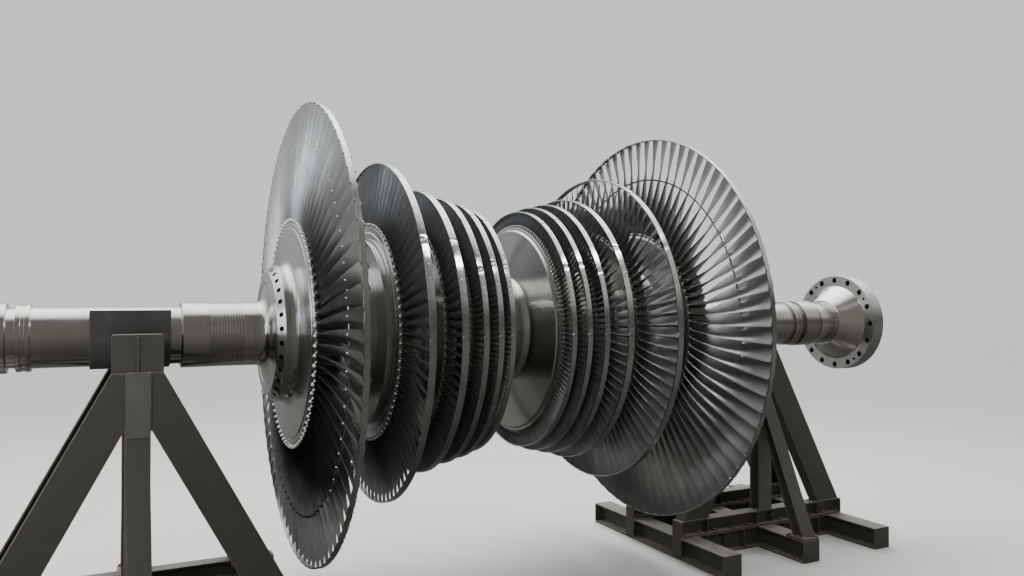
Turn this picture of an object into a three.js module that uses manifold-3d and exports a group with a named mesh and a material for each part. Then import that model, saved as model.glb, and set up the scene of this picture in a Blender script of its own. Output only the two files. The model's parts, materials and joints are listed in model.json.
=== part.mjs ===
// Double-flow low-pressure steam turbine rotor, six blade rows each side of a bare
// centre shaft, lying with its two journals in the padded saddles of two steel stands.
// Millimetres, Z up. The rotor axis runs along X at AXIS_Z; X = 0 is the middle between
// the two flows, and the floor is Z = 0. The right half mirrors the left half.
import * as THREE from 'three';
import { mergeVertices } from 'three/addons/utils/BufferGeometryUtils.js';
import Module from 'manifold-3d';

const wasm = await Module();
wasm.setup();

// Height of the rotor axis above the floor.
const AXIS_Z = 1600;
// Facets round every turned piece. All share it, so that seats keep one even gap.
const FACETS = 32;
// Play left between pieces that seat on each other.
const SEAT = 0.3;

// Blade rows from the last stage (outermost) to the first stage (next to the centre).
// x: distance of the row from the centre. tip: radius over the blades or their band.
// root: radius where the blades start. rootWidth: axial width of the root platforms.
// tipWidth: axial width at the tip or of the band. band: true for a riveted cover band.
const ROWS = [
  { x: 1199, tip: 1320, root: 660, rootWidth: 156, tipWidth: 46, count: 80, band: false },
  { x: 771, tip: 1015, root: 653, rootWidth: 94, tipWidth: 38, count: 84, band: true },
  { x: 529, tip: 865, root: 668, rootWidth: 74, tipWidth: 40, count: 90, band: true },
  { x: 388, tip: 825, root: 683, rootWidth: 60, tipWidth: 34, count: 140, band: true },
  { x: 286, tip: 800, root: 683, rootWidth: 54, tipWidth: 32, count: 144, band: true },
  { x: 199, tip: 770, root: 683, rootWidth: 50, tipWidth: 31, count: 156, band: true },
];
const PLATFORM = 18;
const BAND = 9;

// Shaft.
const CENTRE_R = 323;
const SEAT_R = 290;
const GLAND_R = 178;
const JOURNAL_R = 156;
const SHAFT_END = 3240;

// Coupling halves.
const HUB_BORE = 130;
const NECK_R = 165;
const FLANGE_R = 382;
const FLANGE_FACE = 3274;
const FLANGE_BACK = 3163;
const BOLT_CIRCLE = 346;
const BOLT_HOLES = 16;
const BOLT_HOLE_R = 22;

// Stands.
const STAND_X = 2080;
const BASE_HEIGHT = 150;
const CHEEK_Y = 230;
const FRAME_THICK = 100;
const FRAME_TOP = 1620;
const HEAD_HALF = 120;
const SHOULDER_Z = 1428;
const FOOT_HALF = 771;
const POST_HALF = 60;
const SADDLE_BOTTOM = 1270;
const LINING = 14;
const LINING_HALF = 192;
const LINING_SHIFT = 28;
const LINING_TOP = AXIS_Z + 140;

const steelBright = { color: 0xb9bcbd, metalness: 1.0, roughness: 0.32 };
const steelBlade = { color: 0x9b9f9f, metalness: 1.0, roughness: 0.38 };
const steelBand = { color: 0xa7aaa6, metalness: 1.0, roughness: 0.3 };
const steelShaft = { color: 0xb0aca5, metalness: 1.0, roughness: 0.28 };
const paintStand = { color: 0x4a4b45, metalness: 0.0, roughness: 0.55 };
const rubberBlack = { color: 0x151515, metalness: 0.0, roughness: 0.8 };

const group = new THREE.Group();
group.name = 'steam_turbine_rotor';

// Joins coincident points and drops triangles that have no area, such as those at the
// pole of a turned shape.
function weld(source) {
  const g = source.index ? source.toNonIndexed() : source.clone();
  g.deleteAttribute('normal');
  g.deleteAttribute('uv');
  const merged = mergeVertices(g, 1e-3);
  const kept = [];
  const index = merged.index.array;
  for (let i = 0; i < index.length; i += 3) {
    const [a, b, c] = [index[i], index[i + 1], index[i + 2]];
    if (a !== b && b !== c && a !== c) kept.push(a, b, c);
  }
  merged.setIndex(kept);
  return faceOutward(merged);
}

// Turns every triangle over when the enclosed volume comes out negative.
function faceOutward(g) {
  const p = g.attributes.position;
  const index = Array.from(g.index.array);
  const a = new THREE.Vector3();
  const b = new THREE.Vector3();
  const c = new THREE.Vector3();
  let volume = 0;
  for (let i = 0; i < index.length; i += 3) {
    a.fromBufferAttribute(p, index[i]);
    b.fromBufferAttribute(p, index[i + 1]);
    c.fromBufferAttribute(p, index[i + 2]);
    volume += a.dot(b.cross(c));
  }
  if (volume < 0) {
    for (let i = 0; i < index.length; i += 3) {
      [index[i + 1], index[i + 2]] = [index[i + 2], index[i + 1]];
    }
    g.setIndex(index);
  }
  return g;
}

function toSolid(geometry) {
  const g = weld(geometry);
  return new wasm.Manifold(new wasm.Mesh({
    numProp: 3,
    vertProperties: Float32Array.from(g.attributes.position.array),
    triVerts: Uint32Array.from(g.index.array),
  }));
}

function fromSolid(solid) {
  const mesh = solid.getMesh();
  const g = new THREE.BufferGeometry();
  g.setAttribute('position', new THREE.BufferAttribute(Float32Array.from(mesh.vertProperties), 3));
  g.setIndex(Array.from(mesh.triVerts));
  return faceOutward(g);
}

function add(name, geometry, look) {
  const g = geometry;
  g.computeVertexNormals();
  const mesh = new THREE.Mesh(g, new THREE.MeshStandardMaterial(look));
  mesh.name = name;
  group.add(mesh);
  return mesh;
}

// A solid of revolution about the rotor axis from [x, radius] points. The outline closes
// on the axis when it starts and ends there, and on itself otherwise.
function turned(outline) {
  const points = outline.map(([x, r]) => new THREE.Vector2(r, x));
  const first = outline[0];
  const last = outline[outline.length - 1];
  if (first[1] > 0 || last[1] > 0) points.push(new THREE.Vector2(first[1], first[0]));
  const g = new THREE.LatheGeometry(points, FACETS);
  g.rotateZ(-Math.PI / 2);
  g.translate(0, 0, AXIS_Z);
  return weld(g);
}

// Outline points of the left half from those of the right half.
function onSide(side, outline) {
  return outline.map(([x, r]) => [side * x, r]);
}

// Shaft: bare centre barrel, wheel seats, a hollowed corner beside the last wheel, gland
// length, journal, oil rings and the ends that carry the coupling halves.
const shaftHalf = [
  [98, CENTRE_R],
  [135.7, CENTRE_R + 16],
  [135.7, SEAT_R],
  [1386, SEAT_R],
  [1386.2, 236],
  [1400, 203],
  [1442, GLAND_R],
  [1858, GLAND_R],
  [1862, JOURNAL_R],
  [2561, JOURNAL_R],
  [2561, 172],
  [2627, 172],
  [2627, 152],
  [2667, 152],
  [2667, 178],
  [2816.7, 178],
  [2816.7, HUB_BORE - SEAT],
  [SHAFT_END, HUB_BORE - SEAT],
  [SHAFT_END, 0],
];
add('shaft', turned([
  ...onSide(-1, shaftHalf).reverse(),
  ...shaftHalf,
]), steelShaft);

// Wheels: the last three rows have a wheel each, and the first three share one.
function rim(row) {
  return row.root - PLATFORM - SEAT;
}
const BORE = SEAT_R + SEAT;
const [r1, r2, r3, r4] = ROWS.map(rim);
const wheelOutlines = {
  1: [
    [1000.3, BORE], [1000.3, 396], [1104, 396], [1121, 452], [1121, r1], [1277, r1], [1277, 604],
    [1333, 416], [1386, 416], [1386, BORE],
  ],
  2: [
    [600.3, BORE], [600.3, 420], [724, 420], [724, r2], [818, r2], [818, 554], [862, 554],
    [862, 396], [1000, 396], [1000, BORE],
  ],
  3: [
    [440.3, BORE], [440.3, 460], [492, 460], [492, r3], [566, r3], [566, 460], [600, 460],
    [600, BORE],
  ],
  4: [
    [136, BORE], [136, 338], [142, 610], [155, 648], [155, r4], [420, r4], [424, 560], [440, 470],
    [440, BORE],
  ],
};

// A blade row cut from one ring: platforms joined all round, and one tapered, twisted
// blade standing on each. The steam side (towards the centre) of every blade leads in
// the turning direction, and the outer side trails, more so at the tip than the root.
function bladedRow(row, side, tipRadius) {
  const inner = row.root - PLATFORM;
  const x0 = side * row.x - row.rootWidth / 2;
  const x1 = side * row.x + row.rootWidth / 2;
  const t0 = side * row.x - row.tipWidth / 2;
  const t1 = side * row.x + row.tipWidth / 2;
  const pitch = (2 * Math.PI) / row.count;
  const rootHalf = 0.27 * pitch;
  const tipHalf = 0.1 * pitch;
  const lead = (row.band ? 0.2 : 0.29) * pitch * side;
  const positions = [];
  const triangles = [];
  const point = (x, r, angle) => {
    positions.push(x, -r * Math.sin(angle), AXIS_Z + r * Math.cos(angle));
    return positions.length / 3 - 1;
  };
  const quad = (a, b, c, d) => triangles.push(a, b, c, a, c, d);
  const innerLeft = [];
  const innerRight = [];
  const innerAngles = [];
  for (let i = 0; i < FACETS; i += 1) {
    const angle = (i * 2 * Math.PI) / FACETS;
    innerAngles.push(angle);
    innerLeft.push(point(x0, inner, angle));
    innerRight.push(point(x1, inner, angle));
  }
  const outerLeft = [];
  const outerRight = [];
  const outerAngles = [];
  for (let b = 0; b < row.count; b += 1) {
    const angle = (b + 0.5) * pitch;
    for (const s of [-1, 1]) {
      outerAngles.push(angle + s * rootHalf);
      outerLeft.push(point(x0, row.root, angle + s * rootHalf));
      outerRight.push(point(x1, row.root, angle + s * rootHalf));
    }
    const [la, lb] = outerLeft.slice(-2);
    const [ra, rb] = outerRight.slice(-2);
    const ta = point(t0, tipRadius, angle + lead - tipHalf);
    const tb = point(t0, tipRadius, angle + lead + tipHalf);
    const tc = point(t1, tipRadius, angle - lead + tipHalf);
    const td = point(t1, tipRadius, angle - lead - tipHalf);
    quad(la, lb, tb, ta);
    quad(rb, ra, td, tc);
    quad(ta, tb, tc, td);
    // Both broad faces are folded along the same way, so the plate keeps its thickness.
    if (side < 0) {
      quad(lb, rb, tc, tb);
      quad(la, ta, td, ra);
    } else {
      quad(rb, tc, tb, lb);
      quad(ra, la, ta, td);
    }
  }
  // Platform strips between neighbouring blades, and the bore of the ring.
  const outerCount = outerLeft.length;
  for (let b = 1; b < outerCount; b += 2) {
    const n = (b + 1) % outerCount;
    quad(outerLeft[b], outerLeft[n], outerRight[n], outerRight[b]);
  }
  for (let i = 0; i < FACETS; i += 1) {
    const n = (i + 1) % FACETS;
    quad(innerLeft[i], innerRight[i], innerRight[n], innerLeft[n]);
  }
  // Flat sides: the coarse inner circle is stitched to the fine outer one.
  const turn = 2 * Math.PI;
  let i = 0;
  let j = 0;
  while (i < FACETS || j < outerCount) {
    const nextInner = i + 1 < FACETS ? innerAngles[i + 1] : innerAngles[0] + turn;
    const nextOuter = j + 1 < outerCount ? outerAngles[j + 1] : outerAngles[0] + turn;
    const ci = i % FACETS;
    const cj = j % outerCount;
    if (j >= outerCount || (i < FACETS && nextInner < nextOuter)) {
      const ni = (i + 1) % FACETS;
      triangles.push(innerLeft[ci], innerLeft[ni], outerLeft[cj]);
      triangles.push(innerRight[ci], outerRight[cj], innerRight[ni]);
      i += 1;
    } else {
      const nj = (j + 1) % outerCount;
      triangles.push(innerLeft[ci], outerLeft[nj], outerLeft[cj]);
      triangles.push(innerRight[ci], outerRight[cj], outerRight[nj]);
      j += 1;
    }
  }
  const g = new THREE.BufferGeometry();
  g.setAttribute('position', new THREE.BufferAttribute(new Float32Array(positions), 3));
  g.setIndex(triangles);
  return faceOutward(g);
}

const flat = Math.cos(Math.PI / FACETS);
for (const [word, side] of [['left', -1], ['right', 1]]) {
  for (const [number, outline] of Object.entries(wheelOutlines)) {
    add(`wheel_${word}_${number}`, turned(onSide(side, outline)), steelBright);
  }
  ROWS.forEach((row, k) => {
    const x = side * row.x;
    const half = row.tipWidth / 2;
    const bandInner = row.tip - BAND;
    if (k < 2) {
      const tip = row.band ? bandInner * flat - SEAT : row.tip;
      add(`blades_${word}_${k + 1}`, bladedRow(row, side, tip), steelBlade);
    } else {
      const wide = row.rootWidth / 2;
      add(`blades_${word}_${k + 1}`, turned([
        [x - wide, row.root - PLATFORM],
        [x - half, bandInner - SEAT],
        [x + half, bandInner - SEAT],
        [x + wide, row.root - PLATFORM],
      ]), steelBlade);
    }
    if (row.band) {
      add(`band_${word}_${k + 1}`, turned([
        [x - half, bandInner],
        [x - half, row.tip],
        [x + half, row.tip],
        [x + half, bandInner],
      ]), steelBand);
    }
  });

  // Coupling half: collar, cone and bolting flange, shrunk on the shaft end.
  let flange = toSolid(turned(onSide(side, [
    [2817, HUB_BORE], [2817, NECK_R], [3016, NECK_R], [FLANGE_BACK, 297], [FLANGE_BACK, FLANGE_R],
    [FLANGE_FACE, FLANGE_R], [FLANGE_FACE, HUB_BORE],
  ])));
  for (let h = 0; h < BOLT_HOLES; h += 1) {
    const angle = (h * 2 * Math.PI) / BOLT_HOLES;
    const drill = new THREE.CylinderGeometry(BOLT_HOLE_R, BOLT_HOLE_R, 200, 8);
    drill.rotateZ(Math.PI / 2);
    drill.translate(
      side * (FLANGE_BACK + 50),
      BOLT_CIRCLE * Math.sin(angle),
      AXIS_Z + BOLT_CIRCLE * Math.cos(angle),
    );
    flange = flange.subtract(toSolid(drill));
  }
  add(`coupling_${word}`, fromSolid(flange), steelShaft);
}

// Outline in the X-Z plane, given thickness along Y from y0 to y1.
function plate(outline, y0, y1) {
  const shape = new THREE.Shape(outline.map(([x, z]) => new THREE.Vector2(x, z)));
  const g = new THREE.ExtrudeGeometry(shape, { depth: y1 - y0, bevelEnabled: false, curveSegments: 1 });
  g.rotateX(Math.PI / 2);
  g.translate(0, y1, 0);
  return weld(g);
}

// Outline in the Y-Z plane, given thickness along X from x0 to x1.
function slice(outline, x0, x1) {
  const shape = new THREE.Shape(outline.map(([y, z]) => new THREE.Vector2(y, z)));
  const g = new THREE.ExtrudeGeometry(shape, { depth: x1 - x0, bevelEnabled: false, curveSegments: 1 });
  g.rotateX(Math.PI / 2);
  g.rotateZ(Math.PI / 2);
  g.translate(x0, 0, 0);
  return weld(g);
}

function box(x0, x1, y0, y1, z0, z1) {
  const g = new THREE.BoxGeometry(x1 - x0, y1 - y0, z1 - z0);
  g.translate((x0 + x1) / 2, (y0 + y1) / 2, (z0 + z1) / 2);
  return weld(g);
}

// Points of the lower half circle round the rotor axis in the Y-Z plane, from +Y to -Y.
function lowerArc(radius, steps) {
  const out = [];
  for (let i = 0; i <= steps; i += 1) {
    const angle = (i * Math.PI) / steps;
    out.push([radius * Math.cos(angle), AXIS_Z - radius * Math.sin(angle)]);
  }
  return out;
}

// Side frame of a stand: a centre post between two raking legs on a bottom rail, with a
// head plate beside the saddle. Its two windows are open.
const railTop = BASE_HEIGHT + 110;
const frameOutline = [
  [-FOOT_HALF, BASE_HEIGHT + SEAT], [FOOT_HALF, BASE_HEIGHT + SEAT], [FOOT_HALF, BASE_HEIGHT + 60],
  [HEAD_HALF, SHOULDER_Z], [HEAD_HALF, FRAME_TOP - 8], [HEAD_HALF - 8, FRAME_TOP],
  [-HEAD_HALF + 8, FRAME_TOP], [-HEAD_HALF, FRAME_TOP - 8], [-HEAD_HALF, SHOULDER_Z],
  [-FOOT_HALF, BASE_HEIGHT + 60],
];
const frameWindow = [[POST_HALF, railTop], [533, railTop], [POST_HALF, 1145]];

for (const [word, side] of [['left', -1], ['right', 1]]) {
  const cx = side * STAND_X;
  const shift = (g) => g.translate(cx, 0, 0);

  // Base: two rails under the side frames, tied by three cross beams.
  let base = toSolid(box(-FOOT_HALF, FOOT_HALF, CHEEK_Y, CHEEK_Y + FRAME_THICK, 0, BASE_HEIGHT));
  base = base.add(toSolid(box(-FOOT_HALF, FOOT_HALF, -CHEEK_Y - FRAME_THICK, -CHEEK_Y, 0, BASE_HEIGHT)));
  for (const bx of [-FOOT_HALF + 75, 0, FOOT_HALF - 75]) {
    base = base.add(toSolid(box(bx - 75, bx + 75, -760, 760, 0, BASE_HEIGHT)));
  }
  add(`stand_${word}_base`, shift(fromSolid(base)), paintStand);

  for (const [place, facing] of [['near', -1], ['far', 1]]) {
    const y0 = facing < 0 ? -CHEEK_Y - FRAME_THICK : CHEEK_Y;
    let frame = toSolid(plate(frameOutline, y0, y0 + FRAME_THICK));
    for (const mirror of [-1, 1]) {
      const opening = frameWindow.map(([x, z]) => [mirror * x, z]);
      frame = frame.subtract(toSolid(plate(opening, y0 - 5, y0 + FRAME_THICK + 5)));
    }
    // Raking strut from the post down to the end of the middle cross beam.
    const yIn = facing * (CHEEK_Y + FRAME_THICK - 10);
    const strut = [
      [yIn, 1130], [yIn, 980], [facing * 640, BASE_HEIGHT + SEAT], [facing * 740, BASE_HEIGHT + SEAT],
    ];
    frame = frame.add(toSolid(slice(strut, -55, 55)));
    add(`stand_${word}_frame_${place}`, shift(fromSolid(frame)), paintStand);
  }

  // Cross beam that carries the saddle between the side frames.
  const inside = CHEEK_Y - SEAT;
  add(`stand_${word}_beam`, shift(box(-100, 100, -inside, inside, 1120, SADDLE_BOTTOM - SEAT)), paintStand);

  // Saddle: a block with a half-round seat for the padded journal.
  const seatR = (JOURNAL_R + 1) / flat + LINING + SEAT;
  const saddle = [
    [-inside, SADDLE_BOTTOM], [inside, SADDLE_BOTTOM], [inside, AXIS_Z - 10], [seatR + 0.1, AXIS_Z - 10],
    ...lowerArc(seatR, 16).slice(1, -1), [-seatR - 0.1, AXIS_Z - 10], [-inside, AXIS_Z - 10],
  ];
  add(`stand_${word}_saddle`, shift(slice(saddle, -HEAD_HALF + 5, HEAD_HALF - 5)), paintStand);

  // Rubber lining bent round the underside of the journal, its two edges standing up. It
  // lies a little outward of the saddle.
  const liningIn = (JOURNAL_R + 1) / flat;
  const lining = [
    [liningIn + LINING, LINING_TOP],
    ...lowerArc(liningIn + LINING, 16),
    [-liningIn - LINING, LINING_TOP],
    [-liningIn, LINING_TOP],
    ...lowerArc(liningIn, 16).reverse(),
    [liningIn, LINING_TOP],
  ];
  const strip = slice(lining, -LINING_HALF, LINING_HALF);
  strip.translate(side * LINING_SHIFT, 0, 0);
  add(`stand_${word}_lining`, shift(strip), rubberBlack);
}

export default group;
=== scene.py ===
# %% [markdown]
# # Steam turbine rotor on two stands
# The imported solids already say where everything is. They are faceted and plain: a ring has 32 sides, and
# the four inner blade rows are solid rings. This lesson gives each of them the surface of the real thing.
# Turned steel becomes a smooth profile carried round the axis, and each blade row becomes as many twisted
# aerofoils as the real row has.

import json
import math

import bmesh
import bpy
import numpy as np
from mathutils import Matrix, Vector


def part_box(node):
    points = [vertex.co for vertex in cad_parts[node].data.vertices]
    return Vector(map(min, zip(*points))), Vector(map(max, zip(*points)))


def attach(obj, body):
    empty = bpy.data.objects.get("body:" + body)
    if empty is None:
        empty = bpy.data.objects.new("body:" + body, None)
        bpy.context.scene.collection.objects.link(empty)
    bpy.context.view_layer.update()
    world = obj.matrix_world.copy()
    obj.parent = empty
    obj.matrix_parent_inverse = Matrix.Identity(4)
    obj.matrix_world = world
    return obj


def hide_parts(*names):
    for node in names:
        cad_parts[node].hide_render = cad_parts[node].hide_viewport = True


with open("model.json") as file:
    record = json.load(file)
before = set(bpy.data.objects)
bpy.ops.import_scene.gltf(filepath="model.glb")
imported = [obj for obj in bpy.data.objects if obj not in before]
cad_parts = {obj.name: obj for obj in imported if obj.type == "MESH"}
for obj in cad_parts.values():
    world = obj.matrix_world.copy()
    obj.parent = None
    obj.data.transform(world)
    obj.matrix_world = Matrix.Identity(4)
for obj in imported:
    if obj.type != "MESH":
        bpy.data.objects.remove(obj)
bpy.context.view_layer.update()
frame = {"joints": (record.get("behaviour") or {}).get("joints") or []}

# %% [markdown]
# All sizes are metres. X runs along the rotor, Y is level and points away from the near side, Z is up and
# the floor is zero. The height of the axis comes from the joint that the rotor turns in.

# %% Sizes that many pieces share
AXIS_Z = frame["joints"][0]["pos_m"][2]
ROUND_STEPS = 192
FULL_TURN = 2 * math.pi
SIDES = {"left": -1, "right": 1}
PLATFORM = 0.018
SEAT = 0.0003
BAND = 0.009
FILED = 0.003
print("axis height", AXIS_Z)

# %% [markdown]
# The camera stands a little above the axis and looks along the rotor from its left end, with a wide lens.
# The place and the angles were fitted to the rims of the blade rows, so the frame shows the rotor as the
# photograph does.

# %% Camera
CAMERA_PLACE = (-2.242, -4.796, 1.809)
CAMERA_TILT = 90.625
CAMERA_HEADING = -26.77
camera_data = bpy.data.cameras.new("camera")
camera_data.lens = 28.56
camera_data.sensor_width = 36.0
camera = bpy.data.objects.new("camera", camera_data)
camera.location = CAMERA_PLACE
camera.rotation_euler = (math.radians(CAMERA_TILT), 0.0, math.radians(CAMERA_HEADING))
bpy.context.scene.collection.objects.link(camera)
bpy.context.scene.camera = camera
print("camera at", CAMERA_PLACE, "with a lens of", round(camera_data.lens, 2), "mm")

# %% [markdown]
# ## Light and floor
# The light, the floor and every finish are small node trees. They could be built by hand, socket by
# socket. Here a few helpers each make one node, feed it, and hand back its result, so that a tree reads
# like a recipe.

# %% Node helpers
def feed(tree, made, inputs):
    """Feeds a node's inputs, by name or number: a socket is linked, a colour gets its alpha, a value is
    set."""
    for name, value in inputs.items():
        socket = made.inputs[name]
        if isinstance(value, bpy.types.NodeSocket):
            tree.links.new(value, socket)
        elif socket.type == "RGBA":
            socket.default_value = (*value, 1.0)
        else:
            socket.default_value = value


def node(tree, kind, inputs=None, **settings):
    """One shader node with its settings and its inputs."""
    made = tree.nodes.new(kind)
    for name, value in settings.items():
        setattr(made, name, value)
    feed(tree, made, inputs or {})
    return made


def arithmetic(tree, operation, first, second=0.0, third=0.0, clamp=False):
    """A Math node's result."""
    numbers = {0: first, 1: second, 2: third}
    return node(tree, "ShaderNodeMath", numbers, operation=operation, use_clamp=clamp).outputs[0]


def ramp(tree, value, low, high, start=0.0, end=1.0, kind="LINEAR"):
    """Maps value from low..high to start..end and holds it there."""
    limits = {"Value": value, "From Min": low, "From Max": high, "To Min": start, "To Max": end}
    return node(tree, "ShaderNodeMapRange", limits, interpolation_type=kind).outputs[0]


def blend_colour(tree, factor, first, second):
    """The Mix node's colour: first where factor is 0, second where it is 1."""
    return node(tree, "ShaderNodeMix", {0: factor, 6: first, 7: second}, data_type="RGBA").outputs[2]


def coordinates(tree, place):
    """The three parts of a place or direction."""
    return tuple(node(tree, "ShaderNodeSeparateXYZ", {0: place}).outputs)


def new_material(name):
    """An empty node material: its tree, its metal shader and the object coordinates."""
    material = bpy.data.materials.new(name)
    material.use_nodes = True
    tree = material.node_tree
    tree.nodes.clear()
    shader = node(tree, "ShaderNodeBsdfPrincipled")
    node(tree, "ShaderNodeOutputMaterial", {0: shader.outputs[0]})
    return material, tree, shader, node(tree, "ShaderNodeTexCoord").outputs["Object"]


print("node helpers ready")

# %% [markdown]
# Polished steel shows its surroundings more than itself. A bright sky behind the rotor and a darker room
# behind the camera give each turned part one light half and one dark half, with a clear line between them
# near the top. The camera itself sees an even pale background.

# %% Sky and room
def world_light():
    """The world: in reflections the sky at the back grows brighter with height and towards the right, and the
    room in front is dim with a paler upper right. The camera sees one pale tone."""
    world = bpy.data.worlds.new("surroundings")
    world.use_nodes = True
    tree = world.node_tree
    tree.nodes.clear()
    x, y, z = coordinates(tree, node(tree, "ShaderNodeTexCoord").outputs["Generated"])
    height = ramp(tree, z, 0.16, 0.95, 0.115, 1.0, "SMOOTHSTEP")
    backward = ramp(tree, y, 0.0, 0.55, 0.55, 1.0)
    rightward = ramp(tree, x, -0.75, -0.05, 0.78, 1.0, "SMOOTHSTEP")
    bright = arithmetic(tree, "MULTIPLY", arithmetic(tree, "MULTIPLY", height, backward), rightward)
    sky = blend_colour(tree, bright, (0.0, 0.0, 0.0), (4.3, 4.35, 4.45))
    upper = ramp(tree, z, 0.15, 0.5, kind="SMOOTHSTEP")
    pale_part = arithmetic(tree, "MULTIPLY", upper, ramp(tree, x, 0.2, 0.6, kind="SMOOTHSTEP"))
    farther = ramp(tree, x, -0.1, 0.5, kind="SMOOTHSTEP")
    dim = blend_colour(tree, farther, (0.195, 0.190, 0.175), (0.115, 0.113, 0.105))
    room = blend_colour(tree, pale_part, dim, (0.66, 0.66, 0.65))
    tone = blend_colour(tree, ramp(tree, y, -0.34, 0.04, kind="SMOOTHSTEP"), room, sky)
    seen = node(tree, "ShaderNodeBackground", {"Color": (0.88, 0.87, 0.87)})
    felt = node(tree, "ShaderNodeBackground", {"Color": tone})
    camera_ray = node(tree, "ShaderNodeLightPath").outputs["Is Camera Ray"]
    which = node(tree, "ShaderNodeMixShader", {0: camera_ray, 1: felt.outputs[0], 2: seen.outputs[0]})
    node(tree, "ShaderNodeOutputWorld", {"Surface": which.outputs[0]})
    bpy.context.scene.world = world


world_light()
print("world:", bpy.context.scene.world.name)

# %% [markdown]
# Lamps add what the sky can't. The first two only light the dull surfaces, because a lamp that shows in
# polished steel looks like a hole in the room. The others are there to be seen in it: a wide one beyond
# the left end, and two high ones that put the short bright spots on the cover bands.

# %% Lamps
def soft_lamp(name, place, target, width, height, watts, colour, in_steel):
    """A rectangular lamp at `place`, turned to face `target`, that the camera doesn't see and polished steel
    shows only if `in_steel` is true."""
    data = bpy.data.lights.new(name, "AREA")
    data.shape = "RECTANGLE"
    data.size = width
    data.size_y = height
    data.energy = watts
    data.color = colour
    lamp = bpy.data.objects.new(name, data)
    toward = np.asarray(target, float) - np.asarray(place, float)
    flat = math.hypot(toward[0], toward[1])
    lamp.location = place
    lamp.rotation_euler = (math.atan2(flat, -toward[2]), 0.0, math.atan2(-toward[0], toward[1]))
    lamp.visible_camera = False
    lamp.visible_glossy = in_steel
    bpy.context.scene.collection.objects.link(lamp)


LAMPS = {
    "skylight": dict(place=(0.5, 3.2, 6.2), target=(0.0, 0.0, 1.6), width=8.0, height=2.2, watts=540.0,
                     colour=(1.0, 0.99, 0.97), in_steel=False),
    "near_fill": dict(place=(-4.5, -6.0, 4.6), target=(0.0, 0.0, 1.4), width=3.0, height=2.0, watts=240.0,
                      colour=(0.98, 0.99, 1.0), in_steel=False),
    "left_lamp": dict(place=(-7.5, 0.5, 2.8), target=(-1.2, 0.0, 2.6), width=6.0, height=2.6, watts=105.0,
                      colour=(0.86, 0.93, 1.0), in_steel=True),
    "high_lamp": dict(place=(2.15, -4.5, 7.7), target=(-0.3, -0.9, 2.2), width=1.2, height=1.0, watts=60.0,
                      colour=(1.0, 0.98, 0.94), in_steel=True),
    "far_high_lamp": dict(place=(4.15, -2.75, 7.7), target=(0.35, -0.65, 2.1), width=1.3, height=1.0,
                          watts=70.0, colour=(1.0, 0.99, 0.97), in_steel=True),
}
for name, settings in LAMPS.items():
    soft_lamp(name, **settings)
print("lamps:", [light.name for light in bpy.data.lights])

# %% [markdown]
# The floor is pale for the camera. In the steel it shows a painted reflection instead: one dim glow,
# with painted shade close to the rotor, where a real floor lies in its shade.

# %% Floor
FLOOR_HALF = 30.0


def floor_material():
    """Pale paint. A reflected ray sees a painted reflection instead: a faint glow that rises with the
    distance from the rotor's axis, which leaves painted shade under the rotor.
    """
    material, tree, shader, place = new_material("floor_paint_and_painted_reflection")
    in_reflection = node(tree, "ShaderNodeLightPath").outputs["Is Glossy Ray"]
    beside = arithmetic(tree, "ABSOLUTE", coordinates(tree, place)[1])
    # painted reflection: glossy rays see this emitted glow, with painted shade close to the rotor
    glow = arithmetic(tree, "MULTIPLY", ramp(tree, beside, 0.4, 4.0, 0.35, 1.0), in_reflection)
    paint = blend_colour(tree, in_reflection, (0.54, 0.53, 0.51), (0.0, 0.0, 0.0))
    feed(tree, shader, {
        "Base Color": paint,
        "Roughness": 0.75,
        "Emission Color": (0.105, 0.100, 0.090),
        "Emission Strength": glow,
    })
    return material


floor_mesh = bpy.data.meshes.new("floor")
floor_corners = [(x * FLOOR_HALF, y * FLOOR_HALF, 0.0) for x, y in ((-1, -1), (1, -1), (1, 1), (-1, 1))]
floor_mesh.from_pydata(floor_corners, [], [(0, 1, 2, 3)])
floor_mesh.materials.append(floor_material())
floor = bpy.data.objects.new("floor", floor_mesh)
bpy.context.scene.collection.objects.link(floor)
print("floor", 2 * FLOOR_HALF, "m wide")

# %% [markdown]
# ## Helpers for surfaces
# Nearly every piece here is a grid of points: rows along one parameter, columns along another. One
# function numbers the squares between them, and one hands points and faces to Blender in a single step.

# %% Grid faces and meshes
def grid_quads(rows, columns, close_rows=False):
    """The squares of a grid of points: (r, c), (r, c+1), (r+1, c+1), (r+1, c). The last column joins the
    first, and where `close_rows` is true the last row joins the first too."""
    r = np.arange(rows if close_rows else rows - 1)[:, None]
    c = np.arange(columns)[None, :]
    next_r = (r + 1) % rows
    next_c = (c + 1) % columns
    corners = (r * columns + c, r * columns + next_c, next_r * columns + next_c, next_r * columns + c)
    return np.stack(np.broadcast_arrays(*corners), axis=-1).reshape(-1, 4)


def new_mesh(name, points, face_sets, fields=None, uv=None):
    """A mesh from an array of points and arrays of faces. `fields` are values on the points, `uv` a pair on
    each."""
    mesh = bpy.data.meshes.new(name)
    corners = np.concatenate([faces.ravel() for faces in face_sets]).astype(np.int32)
    sizes = np.concatenate([np.full(len(faces), faces.shape[1]) for faces in face_sets])
    starts = np.concatenate([[0], np.cumsum(sizes)[:-1]]).astype(np.int32)
    mesh.vertices.add(len(points))
    mesh.vertices.foreach_set("co", np.asarray(points, np.float32).ravel())
    mesh.loops.add(len(corners))
    mesh.loops.foreach_set("vertex_index", corners)
    mesh.polygons.add(len(starts))
    mesh.polygons.foreach_set("loop_start", starts)
    mesh.update(calc_edges=True)
    for field, values in (fields or {}).items():
        attribute = mesh.attributes.new(field, "FLOAT", "POINT")
        attribute.data.foreach_set("value", np.asarray(values, np.float32).ravel())
    if uv is not None:
        layer = mesh.uv_layers.new(name="way")
        layer.data.foreach_set("uv", np.asarray(uv, np.float32)[corners].ravel())
    return mesh


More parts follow.
